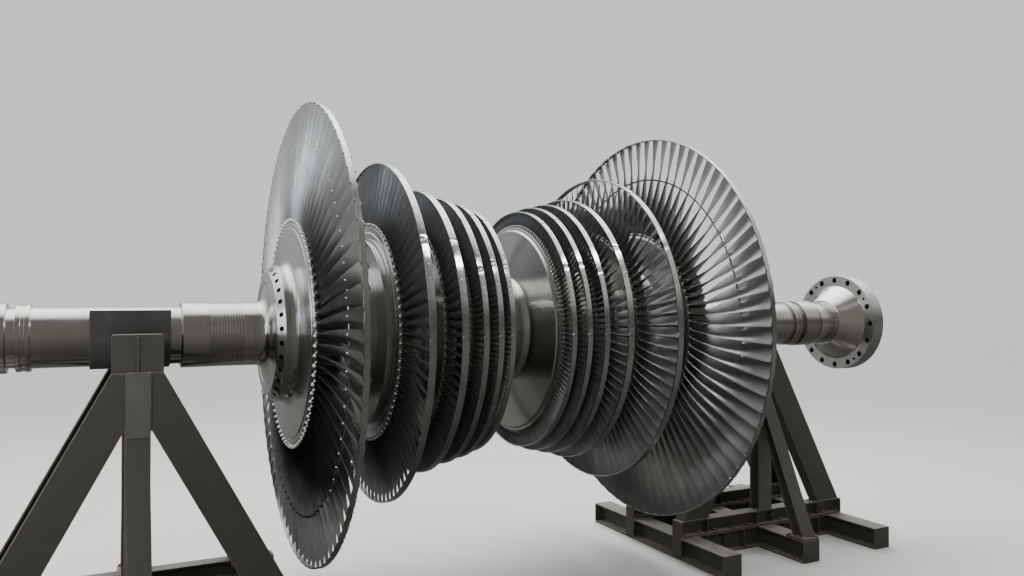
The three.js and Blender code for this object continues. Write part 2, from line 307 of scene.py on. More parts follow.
def close_up(mesh):
    """Joins the points that lie on each other, such as those of a pole or a shared edge."""
    work = bmesh.new()
    work.from_mesh(mesh)
    bmesh.ops.remove_doubles(work, verts=work.verts, dist=2e-6)
    work.to_mesh(mesh)
    work.free()


def place_piece(name, mesh, body, material, replaced, sharp=None):
    """Shows a finished mesh: it rides on a body, takes its finish from a slot, and may stand for solids."""
    mesh.polygons.foreach_set("use_smooth", np.ones(len(mesh.polygons), bool))
    if sharp is not None:
        mesh.set_sharp_from_angle(angle=math.radians(sharp))
    piece = bpy.data.objects.new(name, mesh)
    bpy.context.scene.collection.objects.link(piece)
    mesh.materials.append(material)
    even = piece.modifiers.new("even_shading", "WEIGHTED_NORMAL")
    even.keep_sharp = True
    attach(piece, body)
    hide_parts(*replaced)


print("a 3 x 4 grid has", len(grid_quads(3, 4)), "squares")

# %% [markdown]
# A turned part has no knife edges: a lathe hand breaks every corner with a file. Softening the outline
# before it is carried round costs a few points and gives each edge the thin bright line that says steel.

# %% Softened outlines
def unit(vectors):
    """Each vector divided by its own length."""
    lengths = np.linalg.norm(vectors, axis=-1, keepdims=True)
    return vectors / np.maximum(lengths, 1e-12)


def soften(outline, radius, closed=False, steps=3, with_edge=False):
    """Each corner C becomes (1-t)^2 A + 2t(1-t) C + t^2 B for t from 0 to 1, where A and B lie `radius` away
    on its two sides, or less on a short side. The edge value 4t(1-t) is 1 in the middle of a sharp corner and
    falls to 0 for one that hardly turns."""
    corners = np.asarray(outline, float)
    before = np.roll(corners, 1, axis=0) - corners
    after = np.roll(corners, -1, axis=0) - corners
    shortest = np.minimum(np.linalg.norm(before, axis=1), np.linalg.norm(after, axis=1))
    reach = np.minimum(np.broadcast_to(radius, len(corners)), 0.42 * shortest)
    if not closed:
        reach[0] = 0.0
        reach[-1] = 0.0
    a = (corners + unit(before) * reach[:, None])[:, None]
    b = (corners + unit(after) * reach[:, None])[:, None]
    t = np.linspace(0, 1, steps + 1)[None, :, None]
    points = ((1 - t) ** 2 * a + 2 * t * (1 - t) * corners[:, None] + t**2 * b).reshape(-1, 2)
    apart = np.linalg.norm(points - np.roll(points, 1, axis=0), axis=1) > 1e-6
    if with_edge:
        sharp = np.clip((1 + np.sum(unit(before) * unit(after), axis=1)) / 0.3, 0, 1)
        return points[apart], (sharp[:, None] * (4 * t * (1 - t))[0, :, 0]).ravel()[apart]
    return points[apart]


print("a softened square has", len(soften([(0, 0), (1, 0), (1, 1), (0, 1)], 0.1, closed=True)), "points")

# %% [markdown]
# Everything on the rotor is then a matter of three numbers: the place along the axis, the distance from it
# and the angle. The left half of the rotor mirrors the right one, so every outline is drawn once, for the
# right.

# %% Turning
def around_axis(x, radius, angle):
    """Points at distance `radius` from the rotor axis: (x, r cos a, axis height + r sin a)."""
    x, radius, angle = np.broadcast_arrays(x, radius, angle)
    return np.stack([x, radius * np.cos(angle), AXIS_Z + radius * np.sin(angle)], axis=-1)


def turned_parts(outline, closed, steps=ROUND_STEPS):
    """Points, faces and UV of an outline of (x, radius) carried once round the axis. U runs along the outline
    and V round the axis."""
    outline = np.asarray(outline, float)
    angle = np.arange(steps) * FULL_TURN / steps
    points = around_axis(outline[:, None, 0], outline[:, None, 1], angle[None, :])
    along = np.concatenate([[0], np.cumsum(np.linalg.norm(np.diff(outline, axis=0), axis=1))])
    uv = np.stack(np.broadcast_arrays(along[:, None], angle[None, :] / FULL_TURN), axis=-1)
    faces = grid_quads(len(outline), steps, close_rows=closed)
    return points.reshape(-1, 3), faces[:, ::-1], uv.reshape(-1, 2)


def on_side(side, outline):
    """The outline for one half. The left half mirrors it and runs through it backwards."""
    outline = np.asarray(outline, float)
    if side > 0:
        return outline
    return (outline * [-1, 1])[::-1]


def turned_piece(name, outline, material, replaced=(), closed=True, steps=ROUND_STEPS):
    """A piece turned on the rotor axis."""
    points, faces, uv = turned_parts(outline, closed, steps)
    mesh = new_mesh(name, points, [faces], uv=uv)
    close_up(mesh)
    place_piece(name, mesh, "rotor", material, replaced)


print("a full turn in", ROUND_STEPS, "steps of", 360 / ROUND_STEPS, "degrees")

# %% [markdown]
# ## Finishes
# Steel parts share two effects: fine rings left by the lathe, and cloudy films of oil and handling. Each
# is a node group that puts out masks and heights only, and every material uses it with its own strength.
# The metal shader itself stays in each material.

# %% Groups and noise
FLOAT = "NodeSocketFloat"
VECTOR = "NodeSocketVector"


def new_group(name, inputs, outputs):
    """A node group with named sockets: (name, kind, default) in, (name, kind) out."""
    group = bpy.data.node_groups.new(name, "ShaderNodeTree")
    for label, kind, default in inputs:
        socket = group.interface.new_socket(label, in_out="INPUT", socket_type=kind)
        if default is not None:
            socket.default_value = default
    for label, kind in outputs:
        group.interface.new_socket(label, in_out="OUTPUT", socket_type=kind)
    return group, group.nodes.new("NodeGroupInput").outputs, group.nodes.new("NodeGroupOutput").inputs


def use_group(tree, group, inputs):
    """The outputs of a group placed in a material."""
    return node(tree, "ShaderNodeGroup", inputs, node_tree=group).outputs


def noise(tree, place, scale, detail, roughness=0.5, distortion=0.0):
    """Noise at a place."""
    shape = {"Vector": place, "Scale": scale, "Detail": detail}
    shape.update({"Roughness": roughness, "Distortion": distortion})
    return node(tree, "ShaderNodeTexNoise", shape).outputs[0]


print("groups are built from", FLOAT, "and", VECTOR)

# %% [markdown]
# Lathe rings depend only on the place along the axis and the distance from it, so the group turns a point
# into (x, radius) first and then asks for noise there. Nothing changes round the axis, just as under a
# real tool.

# %% Lathe rings and clouds
lathe_rings, given, out = new_group(
    "lathe_rings",
    [("Vector", VECTOR, None), ("Rings per metre", FLOAT, 700.0)],
    [("Fine", FLOAT), ("Wide", FLOAT)],
)
x, y, z = coordinates(lathe_rings, given["Vector"])
height = arithmetic(lathe_rings, "SUBTRACT", z, AXIS_Z)
beside = arithmetic(lathe_rings, "MULTIPLY", y, y)
from_axis = arithmetic(lathe_rings, "SQRT", arithmetic(lathe_rings, "MULTIPLY_ADD", height, height, beside))
flat_place = node(lathe_rings, "ShaderNodeCombineXYZ", {0: x, 1: from_axis, 2: 0.0}).outputs[0]
fine = noise(lathe_rings, flat_place, given["Rings per metre"], 2.0, roughness=0.6)
lathe_rings.links.new(fine, out["Fine"])
lathe_rings.links.new(noise(lathe_rings, flat_place, 38.0, 3.0), out["Wide"])

clouds, given, out = new_group(
    "clouds",
    [("Vector", VECTOR, None), ("Scale", FLOAT, 3.0), ("Low", FLOAT, 0.42), ("High", FLOAT, 0.66)],
    [("Mask", FLOAT)],
)
cloud = noise(clouds, given["Vector"], given["Scale"], 6.0, roughness=0.62, distortion=0.6)
clouds.links.new(ramp(clouds, cloud, given["Low"], given["High"]), out["Mask"])


def cloud_mask(tree, place, scale, low=0.42, high=0.66):
    """The clouds group's mask: 0 below `low`, 1 above `high`."""
    return use_group(tree, clouds, {"Vector": place, "Scale": scale, "Low": low, "High": high})["Mask"]


print("groups:", [group.name for group in bpy.data.node_groups])

# %% [markdown]
# The rotor's steels differ in polish. Turned faces throw their highlight across the tool marks, in the
# long radial streaks that a disc shows, so their shader is anisotropic and its tangent follows U, along
# the outline. Points may carry a "hole" value, which makes the steel dark and dull there: painted shade
# for the inside of holes and other deep recesses.

# %% Turned steels
PAINTED_HOLE_SHADE = (0.045, 0.042, 0.038)
FILMS = ((3.4, 0.47, (0.40, 0.335, 0.27)), (5.1, 0.50, (0.40, 0.475, 0.435)))


def attribute(tree, name):
    """A value stored on the piece's points."""
    return node(tree, "ShaderNodeAttribute", attribute_name=name).outputs["Fac"]


def bump(tree, height, strength, distance):
    """The normal of a surface that stands up by `height` times `distance`."""
    inputs = {"Height": height, "Strength": strength, "Distance": distance}
    return node(tree, "ShaderNodeBump", inputs).outputs[0]


def way_tangent(tree):
    """The direction of U on the piece's own UV map."""
    return node(tree, "ShaderNodeTangent", direction_type="UV_MAP", uv_map="way").outputs[0]


def turned_steel(name, light, dark, polish, anisotropic, rings, stained=0.0):
    """Steel off the lathe: colour between `dark` and `light`, roughness between the two values of `polish`,
    rings as high as `rings`, and patches of brown and green film as strong as `stained`."""
    material, tree, shader, place = new_material(name)
    ring = use_group(tree, lathe_rings, {"Vector": place})
    film = cloud_mask(tree, place, 2.2)
    spots = cloud_mask(tree, place, 21.0, 0.55, 0.8)
    # painted shade: where the "hole" value is set, the steel takes the dark hole colour
    inside = attribute(tree, "hole")
    shade = arithmetic(tree, "MULTIPLY_ADD", ring["Wide"], 0.55, arithmetic(tree, "MULTIPLY", film, 0.45))
    colour = blend_colour(tree, shade, light, dark)
    for scale, low, film_colour in FILMS:
        patch = arithmetic(tree, "MULTIPLY", cloud_mask(tree, place, scale, low, low + 0.16), stained)
        colour = blend_colour(tree, patch, colour, film_colour)
    worn = arithmetic(tree, "MULTIPLY_ADD", spots, 0.35, arithmetic(tree, "MULTIPLY", film, 0.65))
    feed(tree, shader, {
        "Base Color": blend_colour(tree, inside, colour, PAINTED_HOLE_SHADE),
        "Roughness": ramp(tree, arithmetic(tree, "MAXIMUM", worn, inside), 0.0, 1.0, *polish),
        "Metallic": 1.0,
        "Anisotropic": anisotropic,
        "Normal": bump(tree, ring["Fine"], 0.6, rings),
        "Tangent": way_tangent(tree),
    })
    return material


shaft_steel = turned_steel(
    "shaft_steel", light=(0.66, 0.64, 0.61), dark=(0.44, 0.42, 0.39), polish=(0.16, 0.34), anisotropic=0.45,
    rings=0.00006)
wheel_steel = turned_steel(
    "wheel_steel", light=(0.59, 0.60, 0.58), dark=(0.42, 0.425, 0.41), polish=(0.17, 0.33), anisotropic=0.85,
    rings=0.00008, stained=0.15)
band_steel = turned_steel(
    "band_steel", light=(0.69, 0.70, 0.67), dark=(0.50, 0.52, 0.49), polish=(0.12, 0.26), anisotropic=0.20,
    rings=0.00005, stained=0.55)
coupling_steel = turned_steel(
    "coupling_steel", light=(0.70, 0.69, 0.67), dark=(0.54, 0.53, 0.51), polish=(0.28, 0.44),
    anisotropic=0.35, rings=0.00006)
cone_steel = turned_steel(
    "cone_steel", light=(0.80, 0.78, 0.74), dark=(0.66, 0.64, 0.60), polish=(0.12, 0.24), anisotropic=0.55,
    rings=0.00006)
turned_steels = (shaft_steel, wheel_steel, band_steel, coupling_steel, cone_steel)
print("turned steels:", [steel.name for steel in turned_steels])

# %% [markdown]
# Blades are milled and then polished by hand. Each has its own slight tone, and steam has left a thin
# brown and blue film on some. A value stored on the points carries the tone, because the blades of a row
# are one mesh. The inner rows are somewhat darker than the last one.

# %% Blade steels
def blade_finish(name, light, dark, polish, root_shade, bare):
    """Satin blade steel with a tone for each blade, faint marks along the blade, and painted shade near the
    root, where the blades stand close together. `bare` is how much of it is clean metal, not covered by a
    thin grey scale."""
    material, tree, shader, place = new_material(name)
    tone = attribute(tree, "tone")
    film = cloud_mask(tree, place, 3.2)
    stains = arithmetic(tree, "MULTIPLY", cloud_mask(tree, place, 9.0, 0.52, 0.72), 0.35)
    shade = arithmetic(tree, "MULTIPLY_ADD", tone, 0.45, arithmetic(tree, "MULTIPLY", film, 0.5), clamp=True)
    colour = blend_colour(tree, stains, blend_colour(tree, shade, light, dark), (0.33, 0.27, 0.22))
    way = node(tree, "ShaderNodeUVMap", uv_map="way").outputs[0]
    # painted shade: the blade darkens towards its root
    near_root = ramp(tree, coordinates(tree, way)[1], 0.05, 0.5, root_shade, 0.0)
    uneven = arithmetic(tree, "MULTIPLY_ADD", tone, 0.4, arithmetic(tree, "MULTIPLY", film, 0.6))
    drawn = node(tree, "ShaderNodeMapping", {"Vector": way, "Scale": (160.0, 6.0, 1.0)}).outputs[0]
    feed(tree, shader, {
        "Base Color": blend_colour(tree, near_root, colour, (0.13, 0.13, 0.135)),
        "Roughness": ramp(tree, uneven, 0.0, 1.0, *polish),
        "Metallic": bare,
        "Anisotropic": 0.35,
        "Normal": bump(tree, noise(tree, drawn, 1.0, 3.0), 0.1, 0.0002),
        "Tangent": way_tangent(tree),
    })
    return material


# painted highlight: a pale, half-matt finish that makes root heads and studs show as bright spots
painted_glint_steel = blade_finish(
    "painted_glint_steel", light=(0.86, 0.86, 0.84), dark=(0.74, 0.74, 0.72), polish=(0.30, 0.42), root_shade=0.0,
    bare=0.45)
blade_steel = blade_finish(
    "blade_steel", light=(0.57, 0.575, 0.57), dark=(0.37, 0.375, 0.37), polish=(0.28, 0.42), root_shade=0.35,
    bare=1.0)
inner_blade_steel = blade_finish(
    "inner_blade_steel", light=(0.41, 0.425, 0.44), dark=(0.26, 0.27, 0.285), polish=(0.30, 0.44),
    root_shade=0.6, bare=0.86)
print("blade steels:", painted_glint_steel.name, blade_steel.name, inner_blade_steel.name)

# %% [markdown]
# ## The shaft
# One forging runs through everything. Its middle is bare between the two flows; outside the last wheels
# come the gland lands with their fine sealing grooves, the journal that the stand's padding holds, and the
# collars next to the coupling. The outline is drawn for the right half and mirrored.

# %% Shaft
GLAND_FROM, GLAND_TO, GLAND_GROOVES = 1.548, 1.716, 12
GLAND_RADIUS, GROOVE_FLOOR = 0.178, 0.1752
HOLLOW_END, HOLLOW_SIZE = (1.460, 0.284), (0.0558, 0.106)
groove = ((-0.0032, GLAND_RADIUS), (-0.0026, GROOVE_FLOOR), (0.0026, GROOVE_FLOOR), (0.0032, GLAND_RADIUS))
groove_places = np.linspace(GLAND_FROM, GLAND_TO, GLAND_GROOVES)
groove_outline = [(x + dx, radius) for x in groove_places for dx, radius in groove]
hollow = np.radians(np.arange(0, 91, 10))
hollow_outline = np.asarray(HOLLOW_END) - np.stack([np.cos(hollow), np.sin(hollow)], axis=-1) * HOLLOW_SIZE
shaft_half = [
    (0.098, 0.323), (0.1357, 0.339), (0.1357, 0.290), (1.402, 0.290), *hollow_outline, *groove_outline,
    (1.858, 0.178), (1.862, 0.156), (2.561, 0.156), (2.561, 0.172), (2.585, 0.172), (2.585, 0.168),
    (2.603, 0.168), (2.603, 0.172), (2.627, 0.172), (2.627, 0.152), (2.667, 0.152), (2.667, 0.178),
    (2.8167, 0.178), (2.8167, 0.1297), (3.24, 0.1297), (3.24, 0.05), (3.19, 0.05), (3.19, 0.0),
]
shaft_outline = np.concatenate([on_side(-1, shaft_half), np.asarray(shaft_half)])
turned_piece("shaft_turned", soften(shaft_outline, FILED, steps=2), shaft_steel, ["shaft"],
             closed=False, steps=160)

# %% [markdown]
# ## The wheels
# Each wheel has a thick hub, a thinner web and a wide rim for the blade roots. The last wheel also has a
# boss with a ring of small holes in its bevelled corner, where balancing weights are screwed in.

# %% Wheel outlines
BORE = 0.2903
rim_radius = {k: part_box(f"wheel_right_{k}")[1].y for k in (1, 2, 3, 4)}
r1, r2, r3, r4 = rim_radius.values()
BOSS_FACE = 1.404
BEVEL_INNER, BEVEL_OUTER = (1.4005, 0.3476), (1.3675, 0.3863)
wheel_outlines = {
    1: [
        BEVEL_INNER, (BOSS_FACE, 0.3435), (BOSS_FACE, BORE), (1.0003, BORE), (1.0003, 0.396), (1.104, 0.396),
        (1.121, 0.452), (1.121, r1 - 0.014), (1.127, r1), (1.271, r1), (1.277, r1 - 0.014), (1.277, 0.612),
        (1.283, 0.604), (1.289, 0.446), (1.293, 0.424), (1.302, 0.406), (1.316, 0.395), (1.332, 0.3905),
        (1.3639, 0.3905), BEVEL_OUTER,
    ],
    2: [
        (0.6003, BORE), (0.6003, 0.420), (0.724, 0.420), (0.724, r2), (0.818, r2), (0.818, 0.600),
        (0.824, 0.594), (0.824, 0.566), (0.818, 0.554), (0.862, 0.554), (0.862, 0.396), (1.0, 0.396),
        (1.0, BORE),
    ],
    3: [
        (0.4403, BORE), (0.4403, 0.460), (0.492, 0.460), (0.492, r3), (0.566, r3), (0.566, 0.460),
        (0.6, 0.460), (0.6, BORE),
    ],
    4: [
        (0.136, BORE), (0.136, 0.338), (0.142, 0.610), (0.142, 0.640), (0.155, 0.648), (0.155, r4),
        (0.42, r4), (0.424, 0.560), (0.44, 0.470), (0.44, BORE),
    ],
}
print("rims", {k: round(r, 4) for k, r in rim_radius.items()})

# %% [markdown]
# Cutting the holes with a boolean would leave long thin triangles, so a drilled face is built hole by
# hole: each hole owns one sector, and quads run from its circle to the edges of the sector.

# %% Faces with round holes
HOLE_LIP = 1.12
HOLE_EDGE = 0.0015


def drilled_sectors(x, inner, outer, circle, hole, sectors, chosen, steps):
    """A flat ring face at x between two radii, divided into sectors with one round hole in the middle of
    each. A sector's outline runs along both arcs and both sides; the hole has one point in the direction of
    each outline point, and quads join the two."""
    half = math.pi / sectors
    arc = np.linspace(-half, half, steps + 1)
    side_steps = max(2, steps // 2)
    rise = np.linspace(inner, outer, side_steps + 1)
    turn = np.concatenate([arc[:-1], np.full(side_steps, half), arc[:0:-1], np.full(side_steps, -half)])
    reach = np.concatenate([np.full(steps, inner), rise[:-1], np.full(steps, outer), rise[:0:-1]])
    edge = np.stack([reach * np.cos(turn), reach * np.sin(turn)], axis=-1)
    centre = np.array([circle, 0.0])
    ring = centre + hole * unit(edge - centre)
    middle = (np.asarray(chosen) * 2 * half)[:, None]
    shaped = []
    for loop in (edge, centre + HOLE_LIP * (ring - centre), ring):
        angle = np.arctan2(loop[:, 1], loop[:, 0])[None] + middle
        shaped.append(around_axis(x, np.hypot(*loop.T)[None], angle))
    return np.stack(shaped, axis=1)


def sector_mesh_data(stack, flip, floor):
    """Faces between the loops of every sector, with a many-sided floor in the last loop where it is asked
    for."""
    sectors, loops, count, _ = stack.shape
    one = grid_quads(loops, count)
    starts = (np.arange(sectors) * loops * count)[:, None, None]
    quads = (one[None] + starts).reshape(-1, 4)
    floors = (np.arange(count) + (loops - 1) * count)[None] + starts[:, :, 0]
    if flip:
        quads = quads[:, ::-1]
        floors = floors[:, ::-1]
    return stack.reshape(-1, 3), [quads] + ([floors] if floor else [])


def radial_uv(points):
    """U is the distance from the axis and V the angle, for faces square to the axis."""
    y = points[:, 1]
    z = points[:, 2] - AXIS_Z
    return np.stack([np.hypot(y, z), np.arctan2(z, y) / FULL_TURN], axis=-1)


print("a sector's loops:", drilled_sectors(0.0, 0.3, 0.4, 0.35, 0.02, 32, [0], 6).shape[1:3])

# %% [markdown]
# For the bevel, the drilled ring is made flat and then laid on the slope. A wheel is then the turned
# outline and that ring, put together as one mesh.

# %% Wheels
def join_parts(parts):
    """Several (points, face sets, uv) made one: the faces are renumbered and the points put end to end."""
    points, faces, uvs, start = [], [], [], 0
    for part_points, part_faces, part_uv in parts:
        points.append(part_points)
        uvs.append(part_uv)
        faces.extend(face_set + start for face_set in part_faces)
        start += len(part_points)
    return np.concatenate(points), faces, np.concatenate(uvs)


def drilled_bevel(side, start, end, depth, hole, sectors, steps):
    """A cone face from `start` to `end`, both (place, radius), with a blind hole square to it in the middle
    of each sector. A flat ring point at height h and radius r goes to start + (end - start) (r - r0) /
    length + h n, with n the normal of the slope. The last array says which points are inside a hole."""
    start, end = np.asarray(start), np.asarray(end)
    slope = unit(end - start)
    length = np.linalg.norm(end - start)
    chosen = np.arange(sectors) + 0.5
    circle = start[1] + length / 2
    face = drilled_sectors(0.0, start[1], start[1] + length, circle, hole, sectors, chosen, steps)
    walls = [face[:, -1:] - np.array([deep, 0.0, 0.0]) for deep in (HOLE_EDGE, depth)]
    stack = np.concatenate([face, *walls], axis=1)
    inside = np.zeros(stack.shape[:3])
    inside[:, face.shape[1]:] = 1.0
    points, faces = sector_mesh_data(stack, side < 0, True)
    flat = np.hypot(points[:, 1], points[:, 2] - AXIS_Z) - start[1]
    place = start[0] + flat * slope[0] + points[:, 0] * slope[1]
    radius = start[1] + flat * slope[1] - points[:, 0] * slope[0]
    points = around_axis(side * place, radius, np.arctan2(points[:, 2] - AXIS_Z, points[:, 1]))
    return points, faces, radial_uv(points), inside.ravel()


BALANCE_HOLES, BALANCE_HOLE, BALANCE_DEPTH = 30, 0.0142, 0.03
WHEEL_STEPS = 240
for word, side in SIDES.items():
    for number, outline in wheel_outlines.items():
        name = f"wheel_{word}_{number}"
        drilled = number == 1
        smooth = soften(on_side(side, outline), FILED, closed=not drilled)
        points, faces, uv = turned_parts(smooth, not drilled, WHEEL_STEPS if drilled else ROUND_STEPS)
        parts, hole = [(points, [faces], uv)], [np.zeros(len(points))]
        if drilled:
            *bevel, inside = drilled_bevel(side, BEVEL_INNER, BEVEL_OUTER, BALANCE_DEPTH, BALANCE_HOLE,
                                           BALANCE_HOLES, WHEEL_STEPS // BALANCE_HOLES)
            parts.append(bevel)
            hole.append(inside)
        points, faces, uv = join_parts(parts)
        # painted shade: the walls of the balance holes carry the "hole" value that darkens the steel
        mesh = new_mesh(name + "_turned", points, faces, {"hole": np.concatenate(hole)}, uv)
        close_up(mesh)
        place_piece(name + "_turned", mesh, "rotor", wheel_steel, [name], sharp=50)
print("wheels:", 2 * len(wheel_outlines), "with", BALANCE_HOLES, "balance holes in each of the last ones")

# %% [markdown]
# ## Blades
# A blade is a stack of aerofoil sections. Near the root it stands almost along the shaft, thick and bent,
# to take steam straight on. Towards the tip, where the metal moves fastest, it turns until it lies nearly
# across the shaft, thin and flat. Blades, roots, tenons and tip covers are all solids of stacked loops.

# %% Solids from stacked loops
def signed_volume(points, faces):
    """Six times the volume: the sum of a . (b x c) over the triangles of every face."""
    total = 0.0
    for face_set in faces:
        for corner in range(1, face_set.shape[1] - 1):
            a, b, c = points[face_set[:, 0]], points[face_set[:, corner]], points[face_set[:, corner + 1]]
            total += np.sum(a * np.cross(b, c))
    return total


def stacked_solids(loops):
    """Closed solids from loops of points, shape (solids, loops, points, 3): quads between one loop and the
    next, and the first and last loop closed by a ladder of quads from point j to point n - j."""
    solids, levels, count, _ = loops.shape
    starts = (np.arange(solids) * levels * count)[:, None, None]
    sides = (grid_quads(levels, count)[None] + starts).reshape(-1, 4)
    j = np.arange(1, count // 2 - 1)
    rungs = np.stack([j, j + 1, count - j - 1, count - j], axis=-1)
    last = (levels - 1) * count
    tips = np.array([[0, 1, count - 1], [count // 2 - 1, count // 2, count // 2 + 1]])
    quads = np.concatenate([rungs[:, ::-1], rungs + last])
    triangles = np.concatenate([tips[:, ::-1], tips + last])
    faces = [
        np.concatenate([sides, (quads[None] + starts).reshape(-1, 4)]),
        (triangles[None] + starts).reshape(-1, 3),
    ]
    points = loops.reshape(-1, 3)
    if signed_volume(points, faces) < 0:
        faces = [face_set[:, ::-1] for face_set in faces]
    along = np.linspace(0, 1, levels)[:, None]
    uv = np.stack(np.broadcast_arrays(np.arange(count)[None] / count, along), axis=-1)
    uv = np.broadcast_to(uv[None], (solids, levels, count, 2))
    return points, faces, uv.reshape(-1, 2)


def stacked_piece(name, loops, material, replaced=(), fields=None, sharp=None):
    """A piece of the rotor made of stacked loops."""
    points, faces, uv = stacked_solids(loops)
    mesh = new_mesh(name, points, faces, fields, uv)
    place_piece(name, mesh, "rotor", material, replaced, sharp)


def round_row(side, x, u, v, radius, count, wound_at=None):
    """A section repeated `count` times round the rotor: the place along the axis is x + side u, and v wound
    onto the radius, or onto `wound_at`, gives the angle 2 pi k / count + v / radius."""
    step = (np.arange(count) * FULL_TURN / count)[:, None, None]
    angle = step + (v / (radius if wound_at is None else wound_at))[None]
    return around_axis(x + side * u[None], np.broadcast_to(radius, u.shape)[None], angle)


square = np.array([[1.0, 1.0], [-1.0, 1.0], [-1.0, -1.0], [1.0, -1.0]])
print("four posts of four loops:", round_row(1, 0.0, square, square, 1.0, 4).shape)

# %% [markdown]
# The same few numbers at root and tip, blended up the span, make every row. Each section is wound onto its
# own radius, so the blade is true at any height. Rows are numbered from the ends of the rotor inwards, so
# row 1 has the longest blades.

# %% Blade sections
ROOT_FLARE = 0.012


def aerofoil(count):
    """One section of unit chord, once round: place along the chord s = (1 - cos f)/2, half thickness from
    the four-digit wing curve with a blunt trailing edge, its sign, and the arch 4 s (1 - s) of the camber
    line."""
    f = np.arange(count) * FULL_TURN / count
    s = (1 - np.cos(f)) / 2
    half = 1.4845 * np.sqrt(s) - 0.63 * s - 1.758 * s**2 + 1.4215 * s**3 - 0.4775 * s**4
    half = half * np.sign(np.round(np.sin(f), 6))
    return s, half, 4 * s * (1 - s)


def blade_loops(side, x, root, tip, shape):
    """All blades of a row. At height t from 0 to 1 the turn is a + (b - a) t^twist, with a at the root and
    b at the tip; chord, thickness and camber go from their root value to their tip value as well."""

    def blend(key, power):
        """Root value a and tip value b of a row's measure: a + (b - a) t^power."""
        first, last = shape[key]
        return first + (last - first) * t**power

    spans, points_round = shape["grid"]
    t = np.linspace(0, 1, spans)[:, None]
    radius = root + (tip - root) * t
    flare = 1 + 0.5 * np.exp(-t * (tip - root) / ROOT_FLARE)
    turn = np.radians(blend("turn", shape["twist"]))
    chord = blend("chord", 1)
    s, half, arch = aerofoil(points_round)
    p = (s[None] - 0.5) * chord
    q = (blend("bend", 0.8) * (arch[None] - 0.66) + blend("thick", 0.7) * flare * half[None]) * chord
    u = p * np.cos(turn) + q * np.sin(turn)
    v = -p * np.sin(turn) + q * np.cos(turn)
    return round_row(side, x, u, v, radius, shape["count"])


BLADE_SHAPES = {
    1: dict(count=80, grid=(15, 14), chord=(0.145, 0.139), turn=(8, 71), twist=0.82, thick=(0.13, 0.032),
            bend=(0.12, 0.026)),
    2: dict(count=84, grid=(10, 12), chord=(0.087, 0.068), turn=(12, 60), twist=0.9, thick=(0.16, 0.06),
            bend=(0.15, 0.03)),
    3: dict(count=90, grid=(6, 12), chord=(0.069, 0.057), turn=(16, 49), twist=1.0, thick=(0.17, 0.08),
            bend=(0.16, 0.05)),
    4: dict(count=140, grid=(4, 10), chord=(0.053, 0.041), turn=(20, 38), twist=1.0, thick=(0.18, 0.12),
            bend=(0.16, 0.09)),
    5: dict(count=144, grid=(4, 10), chord=(0.048, 0.036), turn=(20, 34), twist=1.0, thick=(0.18, 0.13),
            bend=(0.16, 0.10)),
    6: dict(count=156, grid=(4, 10), chord=(0.0447, 0.0335), turn=(20, 30), twist=1.0, thick=(0.18, 0.14),
            bend=(0.16, 0.11)),
}
print("blades in each row:", {k: shape["count"] for k, shape in BLADE_SHAPES.items()})

# %% [markdown]
# The roots slide into the rim as a row of blocks with rounded ends. Together they make the toothed ring
# round each wheel; their tops, deep between the blades, carry painted shade, dark like the inside of a
# hole. On the two longest rows each root ends in a rounded head, whose pale finish is a painted highlight.

# %% Roots and their heads
ROOT_GAP, ROOT_SHORT, HEAD_DOWN = 0.0006, 0.0004, 0.006


def platform_loops(side, x, root, width, count, turn, step):
    """Root blocks from the rim up to the blade, fullest half way up. In plan each is an oblong with half
    ellipses for ends: u = e cos f +- (a - e) and v = b sin f for f in steps of `step` degrees, sheared
    along the blade."""
    quarter = np.arange(0, 91, step)
    n = len(quarter)
    f = np.radians(np.concatenate([quarter, quarter + 90, quarter[1:] + 180, quarter[:-1] + 270]))
    end_of = np.repeat([1, -1, -1, 1], [n, n, n - 1, n - 1])
    levels = root - np.array([PLATFORM, 0.013, 0.005, 0.0])[:, None]
    inset = np.array([0.003, 0.0, 0.0, 0.003])[:, None]
    half_pitch = math.pi * root / count - ROOT_GAP
    a = width / 2 - ROOT_SHORT - inset
    b = half_pitch - inset * 0.5
    e = min(0.9 * half_pitch, 0.4 * width)
    u = e * np.cos(f) + (a - e) * end_of
    v = b * np.sin(f) - u * math.tan(math.radians(turn))
    return round_row(side, x, u, v, levels, count)


def head_places(side, x, root, width, count, turn):
    """Points on the outboard ends of the root blocks, a little under their tops: u = w/2 - 3 mm, and v as
    there."""
    u = width / 2 - 0.003
    radius = root - HEAD_DOWN
    place = np.arange(count) * FULL_TURN / count
    return around_axis(x + side * u, radius, place - u * math.tan(math.radians(turn)) / radius)


def stud_loops(places, size, sides):
    """Small round studs at the given points: rings of radius size sin b at size cos b along X."""
    b = np.linspace(0.14, math.pi - 0.14, 4)[:, None]
    f = (np.arange(sides) * FULL_TURN / sides)[None]
    ball = np.stack(np.broadcast_arrays(np.cos(b), np.sin(b) * np.cos(f), np.sin(b) * np.sin(f)), axis=-1)
    return places[:, None, None] + size * ball[None]


HEAD_SIZES = {1: (0.0100, 8), 2: (0.0080, 6)}
ROOT_STEPS = {1: 30, 2: 30, 3: 45, 4: 45, 5: 45, 6: 45}
print("heads, radius and sides:", HEAD_SIZES)

# %% [markdown]
# Rows two to six have a cover band in lengths of several blades, riveted on with a flat tenon at each
# blade. The last row has plates at its tips instead, which lock into one rim, one tie wire through all its
# blades, and a small stud on each.

# %% Bands, tenons, tip covers and the tie wire
BAND_CORNER, BAND_GAP, COVER_GAP = 0.0018, 0.0007, 0.0012


